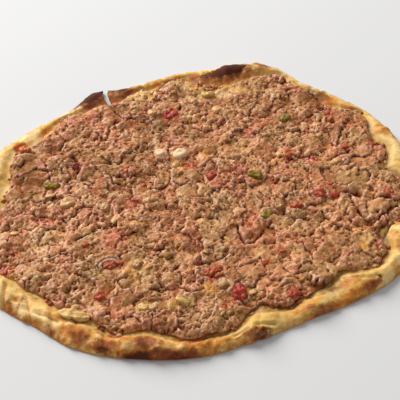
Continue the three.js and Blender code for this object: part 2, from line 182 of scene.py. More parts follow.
# Slits and creases pressed into the rim: [x, y, x, y, half width, depth, lip], in millimetres.
SLITS = [
    (118.5, -42, 121, -36.5, 1.0, 2.2, 0.9), (121, -36.5, 126, -30.5, 1.0, 2.2, 0.9),
    (109, -77, 112.5, -78, 1.0, 0.9, 0.3), (90, -77, 108, -79, 0.9, 0.5, 0.9),
    (22, -121, 30, -117, 1.1, 0.8, 0.5), (34, -115.5, 46, -113.5, 1.2, 0.6, 0.4),
    (-88, 84, -82, 92, 1.3, 0.9, 0.2), (115, -48, 118.5, -42, 1.0, 1.8, 0.7),
    (-96, -106, -82, -112, 1.4, 0.6, 0.2), (-50, -122, -38, -128, 1.4, 0.6, 0.2),
]

# Blisters of the rim: [x, y, half length, half width, turn, rise], in millimetres and degrees.
BLISTERS = [
    (31, -121.5, 5, 3.6, 10, 1.3), (39, -120, 5, 3.6, 20, 1.3), (125, -33, 5, 5, 0, 0.9),
    (107, -82, 8, 4, 38, 0.8), (118, 70, 6, 5, 50, 0.7), (-128, -99, 5, 4, 60, 0.8),
    (-74, -118, 8, 4, -20, 0.8), (-22, -131, 9, 4, 0, 0.9), (131, -46, 5, 5, 0, 0.7),
]

# How deeply the outer edge is baked, with painted shade added towards the front, where the outer face looks
# away from the lamp: [turn, share], in degrees.
EDGE_BAKE_AND_SHADE = [
    (0, 0.35), (40, 0.2), (90, 0.3), (140, 0.35), (180, 0.15), (200, 0.4), (215, 0.6), (240, 0.75),
    (250, 0.9), (266, 1.1), (280, 0.8), (286, 0.35), (302, 0.25), (312, 0.45), (326, 0.5), (345, 0.35),
    (360, 0.35),
]

# Spots of each kind of baking: [x, y, half length, half width, turn, strength], in millimetres and degrees.
CHARRED = [
    (-35, -137, 9, 3, 4, 1.1), (-10, -136.5, 8, 2.5, -4, 0.7), (-53, -133, 8, 2.2, -12, 0.6),
    (-77, 96, 16, 6.5, 40, 1.0), (-70, 102, 6, 6, 30, 0.9), (-59, 103, 10, 4, 12, 0.7),
    (8, 120, 8, 4, 10, 0.8), (24, 124, 17, 5.8, 22, 1.1), (39.5, -120, 6.5, 3.4, 20, 0.8),
    (112, -92, 12, 2, 36, 0.3), (111, -77.5, 1.8, 1.2, 0, 0.8), (-86, 87, 2, 4, -20, 0.7),
    (-115, 77, 1.6, 1.2, 0, 1.0),
]
BROWNED = [
    (-30, -129, 9, 5.5, 0, 1.2), (-24, -137, 36, 4.2, 2, 1.5), (-54, -129, 10, 3.5, -8, 1.0),
    (-3, -134, 6, 3.5, 0, 0.9), (8, -129, 8, 3.5, 0, 0.5), (24, -127, 12, 2.6, 14, 0.5),
    (-68, -124, 6, 4.5, -20, 1.1), (-74, -119, 5, 3, -30, 0.8), (-88, -118, 5.5, 4, -20, 1.0),
    (-50, -121, 4, 3, 0, 0.9), (-113, -100, 3, 5, 30, 0.9), (-104, -112, 4, 3, -40, 0.6),
    (-106, -98, 1.6, 9, -20, 0.8), (-74, 92, 18, 9, 38, 1.1), (-55, 99, 16, 9, 10, 1.0),
    (20, 120, 27, 8, 20, 1.0), (50, 129, 13, 4, -4, 0.7), (35, -120.5, 9, 4.2, 14, 1.0),
    (76, -102, 9, 3.5, 30, 1.1), (68, -101, 3, 2, 30, 0.8), (98, -93, 9, 3, 36, 0.9),
    (106, -83, 9, 3, 30, 0.9), (-24, 112, 8, 4, 10, 0.6), (-5, 112, 5, 4, 0, 0.6),
    (-87, 88, 4, 8, -20, 1.0), (-22, -117, 9, 6, 0, 0.5), (132, -46, 4, 5, 0, 0.4),
    (-112, 70, 8, 3, 40, 0.4), (-2, 120, 6, 4, 0, 0.7), (-57, -119, 6, 3.5, -10, 0.75),
]
GILDED = [
    (94, -80, 9, 5, 30, 0.9), (128, 59, 8, 9, 60, 0.8), (105, 81, 9, 7, -50, 0.9),
    (124, -42, 4, 4, 0, 0.8), (-114, -104, 5, 8, 55, 1.3), (-98, -113, 10, 5, -30, 1.1),
    (-72, -119, 11, 6, -15, 1.1), (-86, -108, 8, 4, -20, 0.8), (-45, -126, 15, 6, 0, 0.9),
    (-132, 12, 8, 30, 0, 0.4), (-108, -96, 7, 3, -50, 0.7), (135, 66, 6, 5, 40, 1.1),
    (139, 55, 6, 4, 60, 1.1), (92, 93, 10, 5, -35, 1.3), (128, 80, 5, 5, 40, 0.6),
    (92, -93, 24, 6, 32, 0.9), (124, -52, 6, 6, 0, 0.6), (128, -31, 4, 3, 0, 1.0),
    (20, 117, 26, 9, 10, 0.8), (-104, 70, 12, 6, 40, 0.5), (-20, 112, 26, 8, 10, 0.9),
    (-57, 91, 12, 4, 6, 1.2), (-105, 57, 6, 8, 0, 1.0), (134, -16, 6, 12, 0, 0.6),
    (-80, 91, 6, 5, 40, 0.7), (2, -127, 24, 6, 0, 0.9), (-20, -130, 52, 9, 0, 0.6),
    (-126, -40, 6, 20, 10, 0.6), (-121, 40, 5, 6, 0, 1.1), (64, -100, 14, 5, 28, 0.7),
]
OIL_SOAKED = [
    (30, -113, 28, 9, 8, 0.9), (62, -99, 30, 11, 28, 0.8), (100, -78, 24, 11, 32, 0.8),
    (6, -121, 18, 6, 0, 1.0), (-44, -118, 18, 5, 0, 0.9), (52, 116, 14, 9, -20, 0.9),
    (-128, 14, 7, 34, 0, 0.5), (92, 94, 16, 6, -30, 1.0), (34, 108, 24, 9, 20, 1.0),
    (-84, -98, 14, 5, -30, 0.5), (127, 28, 8, 14, 0, 0.9), (113, -58, 6, 8, 0, 0.9),
    (2, 110, 16, 8, 0, 1.0), (128, -2, 6, 16, 0, 0.8), (-30, 108, 18, 6, 10, 0.9),
    (-113, -82, 6, 5, 0, 0.8), (116, 80, 9, 7, 40, 0.7),
]
# Juice stains; along the mince's front right edge they are partly painted shadow cast by the mince.
JUICE_AND_SHADOW = [
    (80, -87, 9, 3, 28, 0.9), (41, -103, 8, 2.5, 0, 0.6), (85, 99, 9, 6, -40, 1.0),
    (-6, 113, 12, 5, 10, 0.7), (-70, 92, 9, 6, 30, 0.7), (105, 81, 8, 5, -50, 0.5),
    (12, 105, 9, 5, 0, 0.9), (26, 107, 7, 4, 0, 0.9), (-45, 106, 12, 4, 20, 0.6),
    (100, -74, 10, 3, 30, 0.6), (-96, -92, 10, 3, -30, 0.5),
]
REDDISH = [
    (-122, 41, 5, 5, 30, 1.0), (-116, 54, 8, 4, 40, 0.6), (116, -66, 7, 4, 20, 0.5),
    (-60, -112, 6, 3, -20, 0.5),
]


def copy_of(node):
    """A solid of the frame with its corners merged and its triangles paired."""
    work = bmesh.new()
    work.from_mesh(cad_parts[node].data)
    bmesh.ops.remove_doubles(work, verts=work.verts, dist=WELD)
    bmesh.ops.join_triangles(
        work, faces=work.faces,
        angle_face_threshold=math.radians(60), angle_shape_threshold=math.radians(70),
    )
    return work


def finer(work, name, levels):
    """The same body with a smooth skin: subdivided, as a new mesh."""
    mesh = bpy.data.meshes.new(name)
    work.to_mesh(mesh)
    work.free()
    body = bpy.data.objects.new(name, mesh)
    scene.collection.objects.link(body)
    rounding = body.modifiers.new("rounding", "SUBSURF")
    rounding.levels = levels
    rounding.render_levels = levels
    seen = body.evaluated_get(bpy.context.evaluated_depsgraph_get())
    smooth = bpy.data.meshes.new_from_object(seen)
    body.modifiers.clear()
    body.data = smooth
    smooth.name = name
    smooth.shade_smooth()
    return body


def corners(mesh):
    places = np.empty(len(mesh.vertices) * 3)
    mesh.vertices.foreach_get("co", places)
    return places.reshape(-1, 3)


def normals(mesh):
    out = np.empty(len(mesh.vertices) * 3)
    mesh.vertex_normals.foreach_get("vector", out)
    return out.reshape(-1, 3)


def move_corners(mesh, places):
    mesh.vertices.foreach_set("co", places.ravel())
    mesh.update()


def store(mesh, name, values):
    layer = mesh.attributes.new(name, "FLOAT", "POINT")
    layer.data.foreach_set("value", np.asarray(values, np.float32))


def noise_at(places, size, shift=0.0):
    """Smooth noise from -1 to 1 at each place, with bumps of the given size in metres."""
    offset = Vector((shift, -shift, 2 * shift))
    return np.array([noise.noise(Vector(place) / size + offset) for place in places])


def spots(places, ovals, soften):
    """How deep each place lies in the nearest oval spot, 0 outside and up to its strength."""
    depth = np.zeros(len(places))
    for x, y, half_length, half_width, turn, strength in ovals:
        dx = places[:, 0] / MM - x
        dy = places[:, 1] / MM - y
        c, s = math.cos(math.radians(turn)), math.sin(math.radians(turn))
        share = np.hypot((dx * c + dy * s) / half_length, (dy * c - dx * s) / half_width)
        depth = np.maximum(depth, strength * np.clip((1.0 + soften - share) / (2 * soften), 0, 1))
    return depth


def reach_of(places, turns):
    """The farthest that a body reaches from the middle, in millimetres, towards each turn in degrees."""
    angle = np.degrees(np.arctan2(places[:, 1], places[:, 0])) % 360
    radius = np.hypot(places[:, 0], places[:, 1]) / MM
    width = 360 / SECTORS
    widest = np.zeros(SECTORS)
    np.maximum.at(widest, (angle / width).astype(int) % SECTORS, radius)
    middles = np.arange(SECTORS) * width + width / 2
    return np.interp(turns, np.append(middles - 360, np.append(middles, middles + 360)), np.tile(widest, 3))


def soft_step(value, low, high):
    share = np.clip((value - low) / (high - low), 0, 1)
    return share * share * (3 - 2 * share)


def off_slit(places, x0, y0, x1, y1):
    """How far each place lies from a straight slit, in millimetres."""
    x, y = places[:, 0] / MM - x0, places[:, 1] / MM - y0
    along = np.clip((x * (x1 - x0) + y * (y1 - y0)) / ((x1 - x0) ** 2 + (y1 - y0) ** 2), 0, 1)
    return np.hypot(x - along * (x1 - x0), y - along * (y1 - y0))


crust = finer(copy_of("crust"), "baked_crust", SKIN_LEVELS)
crust_places = corners(crust.data)
crust_up = normals(crust.data)
turn_of = np.degrees(np.arctan2(crust_places[:, 1], crust_places[:, 0])) % 360
edge_reach = reach_of(crust_places, turn_of)
from_edge = edge_reach - np.hypot(crust_places[:, 0], crust_places[:, 1]) / MM
mince_low, mince_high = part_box("mince")
margin = edge_reach - reach_of(corners(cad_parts["mince"].data), turn_of)
faces_up = np.clip(crust_up[:, 2] * 1.5 + 0.8, 0, 1)
open_side = faces_up * np.clip(crust_places[:, 2] / MM - 0.4, 0, 1)

# Each fold is a ridge with a shallower valley along one side of it.
fold = np.zeros(len(crust_places))
for turn, lean, half_width, rise in FOLDS:
    aside = (turn_of - turn + 180) % 360 - 180
    off_line = (np.radians(aside) * edge_reach - lean * from_edge) / half_width
    fold += rise * (np.exp(-(off_line ** 2)) - 0.7 * np.exp(-((2 * off_line - 3.2) ** 2)))
fold *= soft_step(from_edge, -1.5, 1.5) * (1 - soft_step(from_edge / np.maximum(margin, 6), 0.7, 1.05))
slit = np.zeros(len(crust_places))
lips = np.zeros(len(crust_places))
for x0, y0, x1, y1, half_width, depth, lip in SLITS:
    off_line = off_slit(crust_places, x0, y0, x1, y1) / half_width
    slit = np.maximum(slit, depth * np.exp(-(off_line ** 2)))
    lips = np.maximum(lips, lip * np.exp(-((off_line - 2.0) ** 2)))
wave = noise_at(crust_places, WAVE_SIZE) + 0.7 * noise_at(crust_places, WAVE_SIZE / 2, 7.0)
grain = noise_at(crust_places, GRAIN_SIZE, 3.0)
dome = spots(crust_places, BLISTERS, 0.6)
push = (fold + dome + lips - slit) * MM + DOUGH_WAVE * (wave - WAVE_SUNK) + DOUGH_GRAIN * grain
push *= open_side
crust_moved = crust_places + crust_up * push[:, None]
top_limit = cad_box[1].z - TOP_GAP
crust_moved[:, 2] = np.minimum(crust_moved[:, 2], top_limit)
move_corners(crust.data, crust_moved)

bake_turns, bake_shares = zip(*EDGE_BAKE_AND_SHADE)
edge_bake_and_shade = np.interp(turn_of, bake_turns, bake_shares)
low_edge = 1 - soft_step(from_edge, *LOW_EDGE)
crest_bake = edge_bake_and_shade * (1 - soft_step(from_edge, *CREST))
to_mince = from_edge / np.maximum(margin, 4)
oily_side = soft_step(np.cos(np.radians(turn_of + 40)), -0.5, 0.6)
oil_band = soft_step(to_mince, 0.4, 0.95) * (0.5 + 0.5 * oily_side)
# A band of juice stain along the mince's edge on the front right, partly painted shadow cast by the mince.
juice_and_shadow_band = 0.75 * (soft_step(to_mince, 0.7, 1.0) * oily_side)
edge_gold = np.maximum(low_edge * 0.75, crest_bake * 0.9)
store(crust.data, "char", spots(crust_moved, CHARRED, 0.35))
# The brown of the low edge is browning, and towards the front partly painted shade.
store(crust.data, "brown", np.maximum(spots(crust_moved, BROWNED, 0.45), low_edge * edge_bake_and_shade * 0.65))
store(crust.data, "gold", np.maximum(spots(crust_moved, GILDED, 0.5), edge_gold))
store(crust.data, "oil", np.maximum(spots(crust_moved, OIL_SOAKED, 0.5), oil_band))
store(crust.data, "juice", np.maximum(spots(crust_moved, JUICE_AND_SHADOW, 0.5), juice_and_shadow_band))
store(crust.data, "red", spots(crust_moved, REDDISH, 0.6))
store(crust.data, "ridge", np.clip((fold + lips) * open_side, -1, 1))
store(crust.data, "slit", np.clip(slit * open_side, 0, 1))
store(crust.data, "under", np.clip(1 - crust_moved[:, 2] / MM / 1.3, 0, 1))


class Tree:
    """A material's nodes, wired one after another."""

    def __init__(self, material):
        self.nodes = material.node_tree.nodes
        self.links = material.node_tree.links
        self.place = self.nodes.new("ShaderNodeTexCoord").outputs["Object"]

    def link(self, source, target):
        if isinstance(source, bpy.types.NodeSocket):
            self.links.new(source, target)
        else:
            target.default_value = source

    def feed(self, node, **values):
        """Wires or sets a node's sockets by name, with _ for a space."""
        for name, value in values.items():
            self.link(value, node.inputs[name.replace("_", " ")])
        return node

    def new(self, kind, **values):
        return self.feed(self.nodes.new("ShaderNode" + kind), **values)

    def noise(self, size, detail=3.0, rough=0.55):
        """Noise from about 0 to 1 with bumps of the given size in metres."""
        made = self.new("TexNoise", Scale=1 / size, Detail=detail, Roughness=rough, Vector=self.place)
        return made.outputs["Fac"]

    def cells(self, size):
        """Distance to the nearest of many scattered points that lie about a size apart."""
        return self.new("TexVoronoi", Scale=1 / size, Vector=self.place).outputs["Distance"]

    def attribute(self, name, output="Fac"):
        made = self.new("Attribute")
        made.attribute_name = name
        return made.outputs[output]

    def maths(self, operation, first, second=0.0, third=0.0):
        made = self.new("Math")
        made.operation = operation
        for socket, value in zip(made.inputs, (first, second, third)):
            self.link(value, socket)
        return made.outputs[0]

    def step(self, value, low, high, to_low=0.0, to_high=1.0):
        """A soft step between two values."""
        made = self.new("MapRange")
        made.interpolation_type = "SMOOTHSTEP"
        self.feed(made, Value=value, From_Min=low, From_Max=high, To_Min=to_low, To_Max=to_high)
        return made.outputs["Result"]

    def mix(self, share, first, second, blend="MIX"):
        made = self.new("Mix")
        made.data_type = "RGBA"
        made.blend_type = blend
        self.feed(made, Factor=share, A=first, B=second)
        return made.outputs["Result"]

    def bump(self, height, distance, strength, **below):
        """A bumpy surface, over the one below where it is given as Normal."""
        made = self.new("Bump", Height=height, Distance=distance, Strength=strength, **below)
        return made.outputs["Normal"]


dough, dough_shader = new_material("baked_dough", 0.7)
tree = Tree(dough)
patch = tree.noise(12 * MM)
speck = tree.noise(3.2 * MM, 4, 0.65)
ragged = tree.maths("ADD", tree.maths("MULTIPLY", patch, 0.4), tree.maths("MULTIPLY", speck, 0.6))
loose = tree.maths("SUBTRACT", ragged, 0.5)


def baked(name, reach, low, high, most=1.0):
    """A baked spot with a ragged outline, from the piece's own attribute."""
    return tree.step(tree.maths("MULTIPLY_ADD", loose, reach, tree.attribute(name)), low, high, 0, most)


# The coats of the bake in the order that they lie: [attribute, colour, raggedness, from, to, most]. The
# pale coat on the ridges of the folds is a painted highlight.
COATS = [
    ("ridge", PALE, 0.6, 0.2, 0.9, 0.65), ("oil", OILED, 1.4, 0.15, 0.9, 0.9),
    ("gold", GOLDEN, 2.2, 0.25, 0.9, 1.0), ("gold", AMBER, 3.4, 0.7, 1.3, 1.0),
    ("red", RED_OIL, 1.6, 0.3, 0.9, 0.8), ("juice", JUICE_AND_SHADOW_BROWN, 2.0, 0.2, 1.0, 0.9),
    ("brown", RUST, 2.6, 0.25, 0.9, 0.8), ("brown", BROWN, 3.0, 0.65, 1.4, 1.0),
]
colour = tree.mix(tree.step(patch, 0.35, 0.65), paint(*PALE), paint(*CREAM))
colour = tree.mix(tree.step(tree.noise(6 * MM, 4, 0.6), 0.47, 0.7, 0, 0.7), colour, paint(*GOLDEN))
for name, coat, reach, low, high, most in COATS:
    colour = tree.mix(baked(name, reach, low, high, most), colour, paint(*coat))
# Painted shade in the valleys beside the folds, where they are painted amber.
colour = tree.mix(tree.step(tree.attribute("ridge"), -0.1, -0.6, 0, 0.55), colour, paint(*AMBER))
colour = tree.mix(baked("char", 2.0, 0.3, 1.0), colour, paint(*CHAR))
# Painted shade: the slits and creases of the rim are painted dark.
colour = tree.mix(tree.step(tree.attribute("slit"), 0.25, 0.9, 0, 0.85), colour, paint(*CREASE_SHADE))
scorch = tree.step(tree.noise(24 * MM, 5, 0.65), 0.5, 0.72)
colour = tree.mix(baked("under", 0.8, 0.2, 0.7), colour, tree.mix(scorch, paint(*FLOURY), paint(*TOASTED)))
roughness = tree.step(tree.attribute("oil"), 0.2, 0.9, 0.66, 0.42)
gloss = tree.step(tree.attribute("char"), 0.1, 0.7, 0.2, 0.03)
surface = tree.bump(tree.noise(1.6 * MM, 5, 0.6), 0.35 * MM, 0.7)
tree.feed(
    dough_shader, Base_Color=colour, Roughness=roughness, Specular_IOR_Level=gloss, Normal=surface,
    Subsurface_Weight=0.08, Subsurface_Radius=(3 * MM, 1.6 * MM, 0.8 * MM), Subsurface_Scale=1.0,
)
crust.data.materials.clear()
crust.data.materials.append(dough)
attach(crust, "root")
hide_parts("crust")


# ---- The bed of mince ----
# Lamb mince kneaded with tomato, onion and spices, pressed on raw in a thin layer. It shrank in the
# oven to lumps and slabs with cracks between them, and its fat browned on top.
STEP = 0.72 * MM

# The broken layer, from its slabs down to its grains, in millimetres: [size, rise, tilt, dome, crack width,
# crack depth, ragged, seed]. A piece stands up to its rise above or below the rest, and its top is tilted
# and domed by so much.
SLABS = (12, 0.8, 1.3, 0.4, 1.6, 1.0, 3.5, 41)
LUMPS = (4.4, 0.3, 0.5, 0.2, 1.0, 0.25, 2.8, 43)
GRAINS = (2.1, 0.22, 0.35, 0.12, 0.9, 0.25, 1.5, 47)

# The colours of the cooked lumps, and how often each one comes. After them, the warmer and the duller
# patches, the grey, oily and red stains, a painted sheen on the raised tops, the oily dough where the layer
# is thin, the painted shade in cracks and pits, and the flush of red and of yellow fat.
MEAT_PAINTS = [
    ((198, 150, 104), 4), ((184, 132, 88), 5), ((168, 112, 76), 4), ((184, 112, 92), 3),
    ((148, 98, 64), 3), ((196, 146, 84), 2), ((160, 128, 82), 3), ((176, 92, 72), 2),
    ((212, 172, 124), 2), ((136, 86, 64), 2),
]
WARM_MEAT = (188, 104, 80)
DULL_MEAT = (168, 138, 88)
GREY_MEAT = (128, 88, 68)
OIL_STAIN = (210, 150, 62)
RED_STAIN = (172, 76, 58)
PAINTED_SHEEN = (232, 180, 150)
OILY_DOUGH = (208, 162, 88)
CRACK_SHADE = (124, 36, 5)
PIT_SHADE = (70, 18, 2)
RED_FLUSH = (194, 92, 62)
YELLOW_FLUSH = (198, 150, 78)

# How much each level of the broken layer tells in the colour, and the tone and brightness of the whole
# bed. Then how much its parts of painted light are raised and its parts of painted shade lowered, and the
# painted highlight and painted shade speckled over its fine grain.
SLAB_SHARE = 0.35
LUMP_SHARE = 0.35
GRAIN_SHARE = 0.3
BED_TONE = np.array([1.09, 0.97, 0.675])
BED_GAIN = 1.01
LIT_GAIN = 0.36
SHADE_DEPTH = np.array([0.4, 0.48, 0.55])
GRAIN_HIGHLIGHT_TINT = (1.32, 1.38, 1.58, 1)
GRAIN_SHADE_TINT = (0.7, 0.58, 0.46, 1)

# Slabs that stayed smooth: [x, y, half length, half width, turn], in millimetres and degrees. After them,
# the parts stained red, oily and grey, each with its strength.
SMOOTH_SLABS = [
    (98, 14, 22, 15, 20), (-114, 9, 9, 27, 0), (118, -18, 13, 8, 20), (-12, 103, 11, 8, 0),
    (26, -41, 8, 9, 30), (78, -50, 20, 12, 20), (111, 28, 12, 11, 0), (76, -82, 7, 8, 0),
    (81, 94, 8, 10, 0), (-88, -50, 22, 10, 30), (-45, -76, 16, 20, 0), (40, -62, 18, 22, 0),
    (90, -56, 20, 18, 20), (2, 2, 16, 12, 0), (-30, -100, 8, 4, 10), (-11, -97, 11, 4, 5),
    (15, 100, 24, 5, 8),
]
REDDENED = [
    (-79, 20, 7, 7, 0, 0.9), (-38, 78, 2, 4, 0, 0.8), (-51, -40, 5, 6, 0, 0.9), (-69, -50, 5, 3, 0, 0.7),
    (-114, -57, 3, 4, 0, 0.8), (-47, 19, 7, 9, 0, 0.7), (-42, -14, 6, 8, 0, 0.8), (-35, 2, 4, 5, 0, 0.7),
    (-99, -32, 5, 3, 0, 0.7), (-56, -91, 5, 3, 0, 0.9), (-47, -66, 3, 4, 0, 0.9), (9, -75, 4, 7, 0, 1),
    (18, -69, 2, 2, 0, 0.8), (61, -89, 4, 5, 0, 0.9), (42, -65, 4, 5, 0, 0.9), (52, -57, 3, 4, 0, 0.7),
    (90, -5, 4, 5, 0, 0.8), (78, 28, 5, 7, 0, 0.8), (92, 76, 4, 9, 0, 0.9), (101, 41, 4, 6, 0, 0.7),
    (120, 43, 5, 7, 0, 0.8), (62, 33, 4, 7, 0, 0.8), (125, -4, 5, 7, 0, 0.6), (116, -56, 6, 11, 0, 0.45),
    (-24, 16, 9, 8, 0, 0.35), (-35, -90, 9, 7, 0, 0.4), (-11, 78, 10, 7, 0, 0.3), (12, 92, 9, 6, 0, 0.3),
    (72, 105, 5, 5, 0, 0.7), (-6, 24, 6, 6, 0, 0.8), (3, 85, 3, 5, 0, 0.6), (-118, -71, 3, 7, 0, 0.8),
    (-19, 71, 6, 6, 0, 0.9), (19, -99, 6, 4, 0, 0.7), (-32, 29, 6, 5, 0, 0.6), (119, -29, 5, 5, 0, 0.7),
    (-25, -98, 6, 4, 0, 0.5),
]
OILY = [
    (-105, 57, 5, 7, 0, 1), (-120, 40, 6, 5, 0, 0.9), (-113, -79, 4, 6, 0, 0.9), (-40, -69, 9, 9, 0, 0.9),
    (-14, -50, 5, 7, 0, 0.7), (-45, 50, 3, 6, 0, 0.9), (6, -86, 6, 5, 0, 1), (-34, -100, 6, 4, 0, 0.8),
    (32, -87, 6, 5, 0, 0.6), (105, -51, 4, 6, 0, 0.8), (54, 30, 6, 6, 0, 0.7), (4, 35, 5, 5, 0, 0.8),
    (-39, 102, 10, 9, 0, 0.9), (0, 107, 6, 10, 0, 0.8), (26, 106, 9, 7, 0, 0.7), (58, -78, 4, 5, 0, 0.5),
    (116, 73, 5, 7, 0, 0.8), (-11, 21, 3, 7, 0, 0.8), (103, -36, 9, 5, -45, 0.8),
    (-14, -98, 9, 4, 8, 0.9),
]
GREYED = [
    (-100, 42, 5, 7, 0, 0.8), (-114, 9, 7, 27, 0, 0.6), (-12, 103, 11, 8, 0, 0.8),
    (81, 94, 6, 10, 0, 0.8), (-22, -116, 7, 6, 0, 0.9), (76, -82, 7, 8, 0, 0.8), (-58, -4, 9, 7, 0, 0.5),
    (26, -41, 5, 8, 0, 0.6), (-40, 54, 3, 6, 0, 0.5), (111, 28, 12, 12, 0, 0.5), (-25, -87, 7, 6, 0, 0.3),
    (47, -48, 9, 7, 0, 0.45), (-90, -21, 7, 6, 0, 0.35), (-71, -24, 7, 5, 0, 0.35),
    (56, 76, 7, 6, 0, 0.4),
]

# Places where the layer is thin and the oily dough shows through it.
THIN = [
    (15, 100, 24, 5, 8, 0.9), (-12, 106, 14, 7, 0, 0.5), (-42, 100, 12, 7, 15, 1.0),
    (-30, -100, 6, 3, 10, 1.0), (-11, -97, 10, 3.5, 5, 1.0), (-38, -71, 7, 5, 0, 0.8),
    (16, -80, 5, 6, 0, 0.6), (107, -46, 5, 7, -20, 0.5),
]

# Darker and paler parts of the bed.
SHADED = [
    (-112, 12, 16, 18, 0, 0.8), (-80, 27, 12, 14, 0, 0.7), (-45, 7, 16, 12, 0, 0.9),
    (-41, 68, 15, 10, 0, 0.8), (-53, -88, 14, 8, 0, 0.7), (74, -84, 11, 6, 25, 1.0),
    (40, -98, 17, 6, 10, 1.0), (61, -94, 9, 6, 20, 0.9), (84, 92, 9, 10, -40, 0.9),
    (106, 72, 8, 7, 0, 0.5), (-60, 84, 14, 7, 25, 0.6), (-101, -90, 12, 7, -20, 0.6),
    (78, -60, 9, 8, 0, 0.6), (26, -76, 8, 7, 0, 0.5), (-42, -60, 14, 7, 0, 0.4), (-40, 45, 8, 14, 0, 0.5),
    (-64, -3, 9, 8, 0, 0.5), (93, -3, 8, 8, 0, 0.4), (106, -33, 12, 3.5, -45, 0.9),
    (-34, 1, 9, 7, 0, 0.9), (-64, -11, 8, 6, 0, 0.7), (96, 6, 9, 7, 0, 0.8), (8, -38, 8, 6, 0, 0.6),
    (46, -103, 10, 3, 20, 0.9), (70, -92, 8, 3, 30, 0.9), (-23, -106, 9, 6, 0, 0.8),
]
LIT = [
    (22, 37, 24, 8, 0, 0.6), (95, -21, 10, 9, 0, 0.9), (63, -71, 14, 11, 0, 0.9),
    (-88, -34, 14, 10, 0, 0.5), (1, -56, 8, 8, 0, 0.5), (-68, 57, 10, 8, 0, 0.5), (39, -56, 8, 7, 0, 0.4),
    (-12, 42, 14, 7, 0, 0.4), (63, -78, 9, 7, 0, 0.5), (-48, -40, 12, 9, 0, 0.6),
    (-105, -40, 14, 8, 0, 0.5), (90, 34, 9, 8, 0, 0.4), (-54, -31, 9, 8, 0, 0.8), (65, -77, 9, 6, 0, 0.7),
    (113, 6, 8, 8, 0, 0.9), (92, -31, 9, 7, 0, 0.7), (-87, -26, 10, 8, 0, 0.8), (61, 34, 9, 8, 0, 0.8),
    (-75, 81, 9, 7, 0, 0.8), (47, -87, 9, 6, 0, 0.6), (25, -103, 7, 5, 0, 0.7),
]

# Gaps where the layer shrank apart: [x, y] in millimetres along each, then its half width and depth.
GAPS = [
    ([(25, -34), (27, -43), (29, -50), (35, -48), (41, -41), (47, -30)], 1.1, 1.6),
    ([(46, -21), (54, -25), (64, -28), (72, -27)], 1.0, 1.6), ([(88, 28), (97, 34), (105, 38)], 1.1, 1.8),
    ([(64, 33), (74, 31), (83, 34)], 1.0, 1.6), ([(98, -3), (108, -8), (116, -9), (126, -8)], 1.2, 1.8),
    ([(99, -7), (103, -18), (111, -33)], 1.4, 1.8), ([(111, -33), (121, -22), (130, -14)], 1.2, 1.6),
    ([(-76, -46), (-69, -41), (-63, -38)], 0.9, 1.4), ([(-84, 31), (-78, 20), (-86, 8)], 1.3, 1.8),
    ([(-97, -94), (-89, -98), (-83, -104)], 1.1, 1.4), ([(-39, -50), (-30, -53), (-21, -54)], 1.1, 1.8),
    ([(44, 72), (57, 81), (67, 91)], 0.9, 1.3), ([(69, 65), (77, 71), (90, 82)], 1.0, 1.3),
    ([(-103, 22), (-98, 6), (-101, -8)], 1.0, 1.4), ([(-61, 16), (-55, 6), (-46, 4)], 1.1, 1.6),
    ([(-20, 8), (-12, 2), (-3, 3)], 0.9, 1.3), ([(-93, -62), (-82, -58), (-76, -62)], 0.9, 1.2),
    ([(84, -34), (92, -28), (99, -30)], 0.9, 1.2), ([(12, -62), (20, -58), (28, -60)], 0.9, 1.3),
    ([(52, -70), (60, -76), (70, -72)], 1.0, 1.3), ([(-60, 80), (-52, 72), (-44, 70)], 1.1, 1.5),
    ([(3, 58), (12, 54), (22, 56)], 0.9, 1.3), ([(-100, 60), (-92, 48), (-94, 38)], 1.1, 1.5),
    ([(-12, -84), (-4, -90), (4, -88)], 1.0, 1.3), ([(86, 8), (95, 2), (104, 5)], 0.7, 1.0),
]

# How far a diced piece stands out of the mince, and how far round it the bed is filled in. Then in how
# many rounds the filling settles, and how many steps round a piece the mince is kept down.
DICE_SHOWN = 0.7 * MM
POCKET_MARGIN = 1 * MM
FILL_ROUNDS = 160
LID_ROUNDS = 4

left = mince_low.x - STEP
near = mince_low.y - STEP
columns = int((mince_high.x - left) / STEP) + 2
rows = int((mince_high.y - near) / STEP) + 2
across = left + STEP * np.arange(columns)
deep = near + STEP * np.arange(rows)


def cloud(size, seed):
    """Smooth noise over the bed, from -1 to 1, with bumps of the given size in millimetres."""
    own = np.random.default_rng(seed)
    u = (across - left) / (size * MM)
    v = (deep - near) / (size * MM)
    knots = own.uniform(-1, 1, (int(v[-1]) + 2, int(u[-1]) + 2))
    i, j = u.astype(int), v.astype(int)
    fu, fv = u - i, v - j
    fu, fv = fu * fu * (3 - 2 * fu), (fv * fv * (3 - 2 * fv))[:, None]
    lower = knots[j][:, i] * (1 - fu) + knots[j][:, i + 1] * fu
    upper = knots[j + 1][:, i] * (1 - fu) + knots[j + 1][:, i + 1] * fu
    return lower * (1 - fv) + upper * fv


def clouds(size, seed):
    return (cloud(size, seed) + 0.5 * cloud(size / 2, seed + 1) + 0.25 * cloud(size / 4, seed + 2)) / 1.2


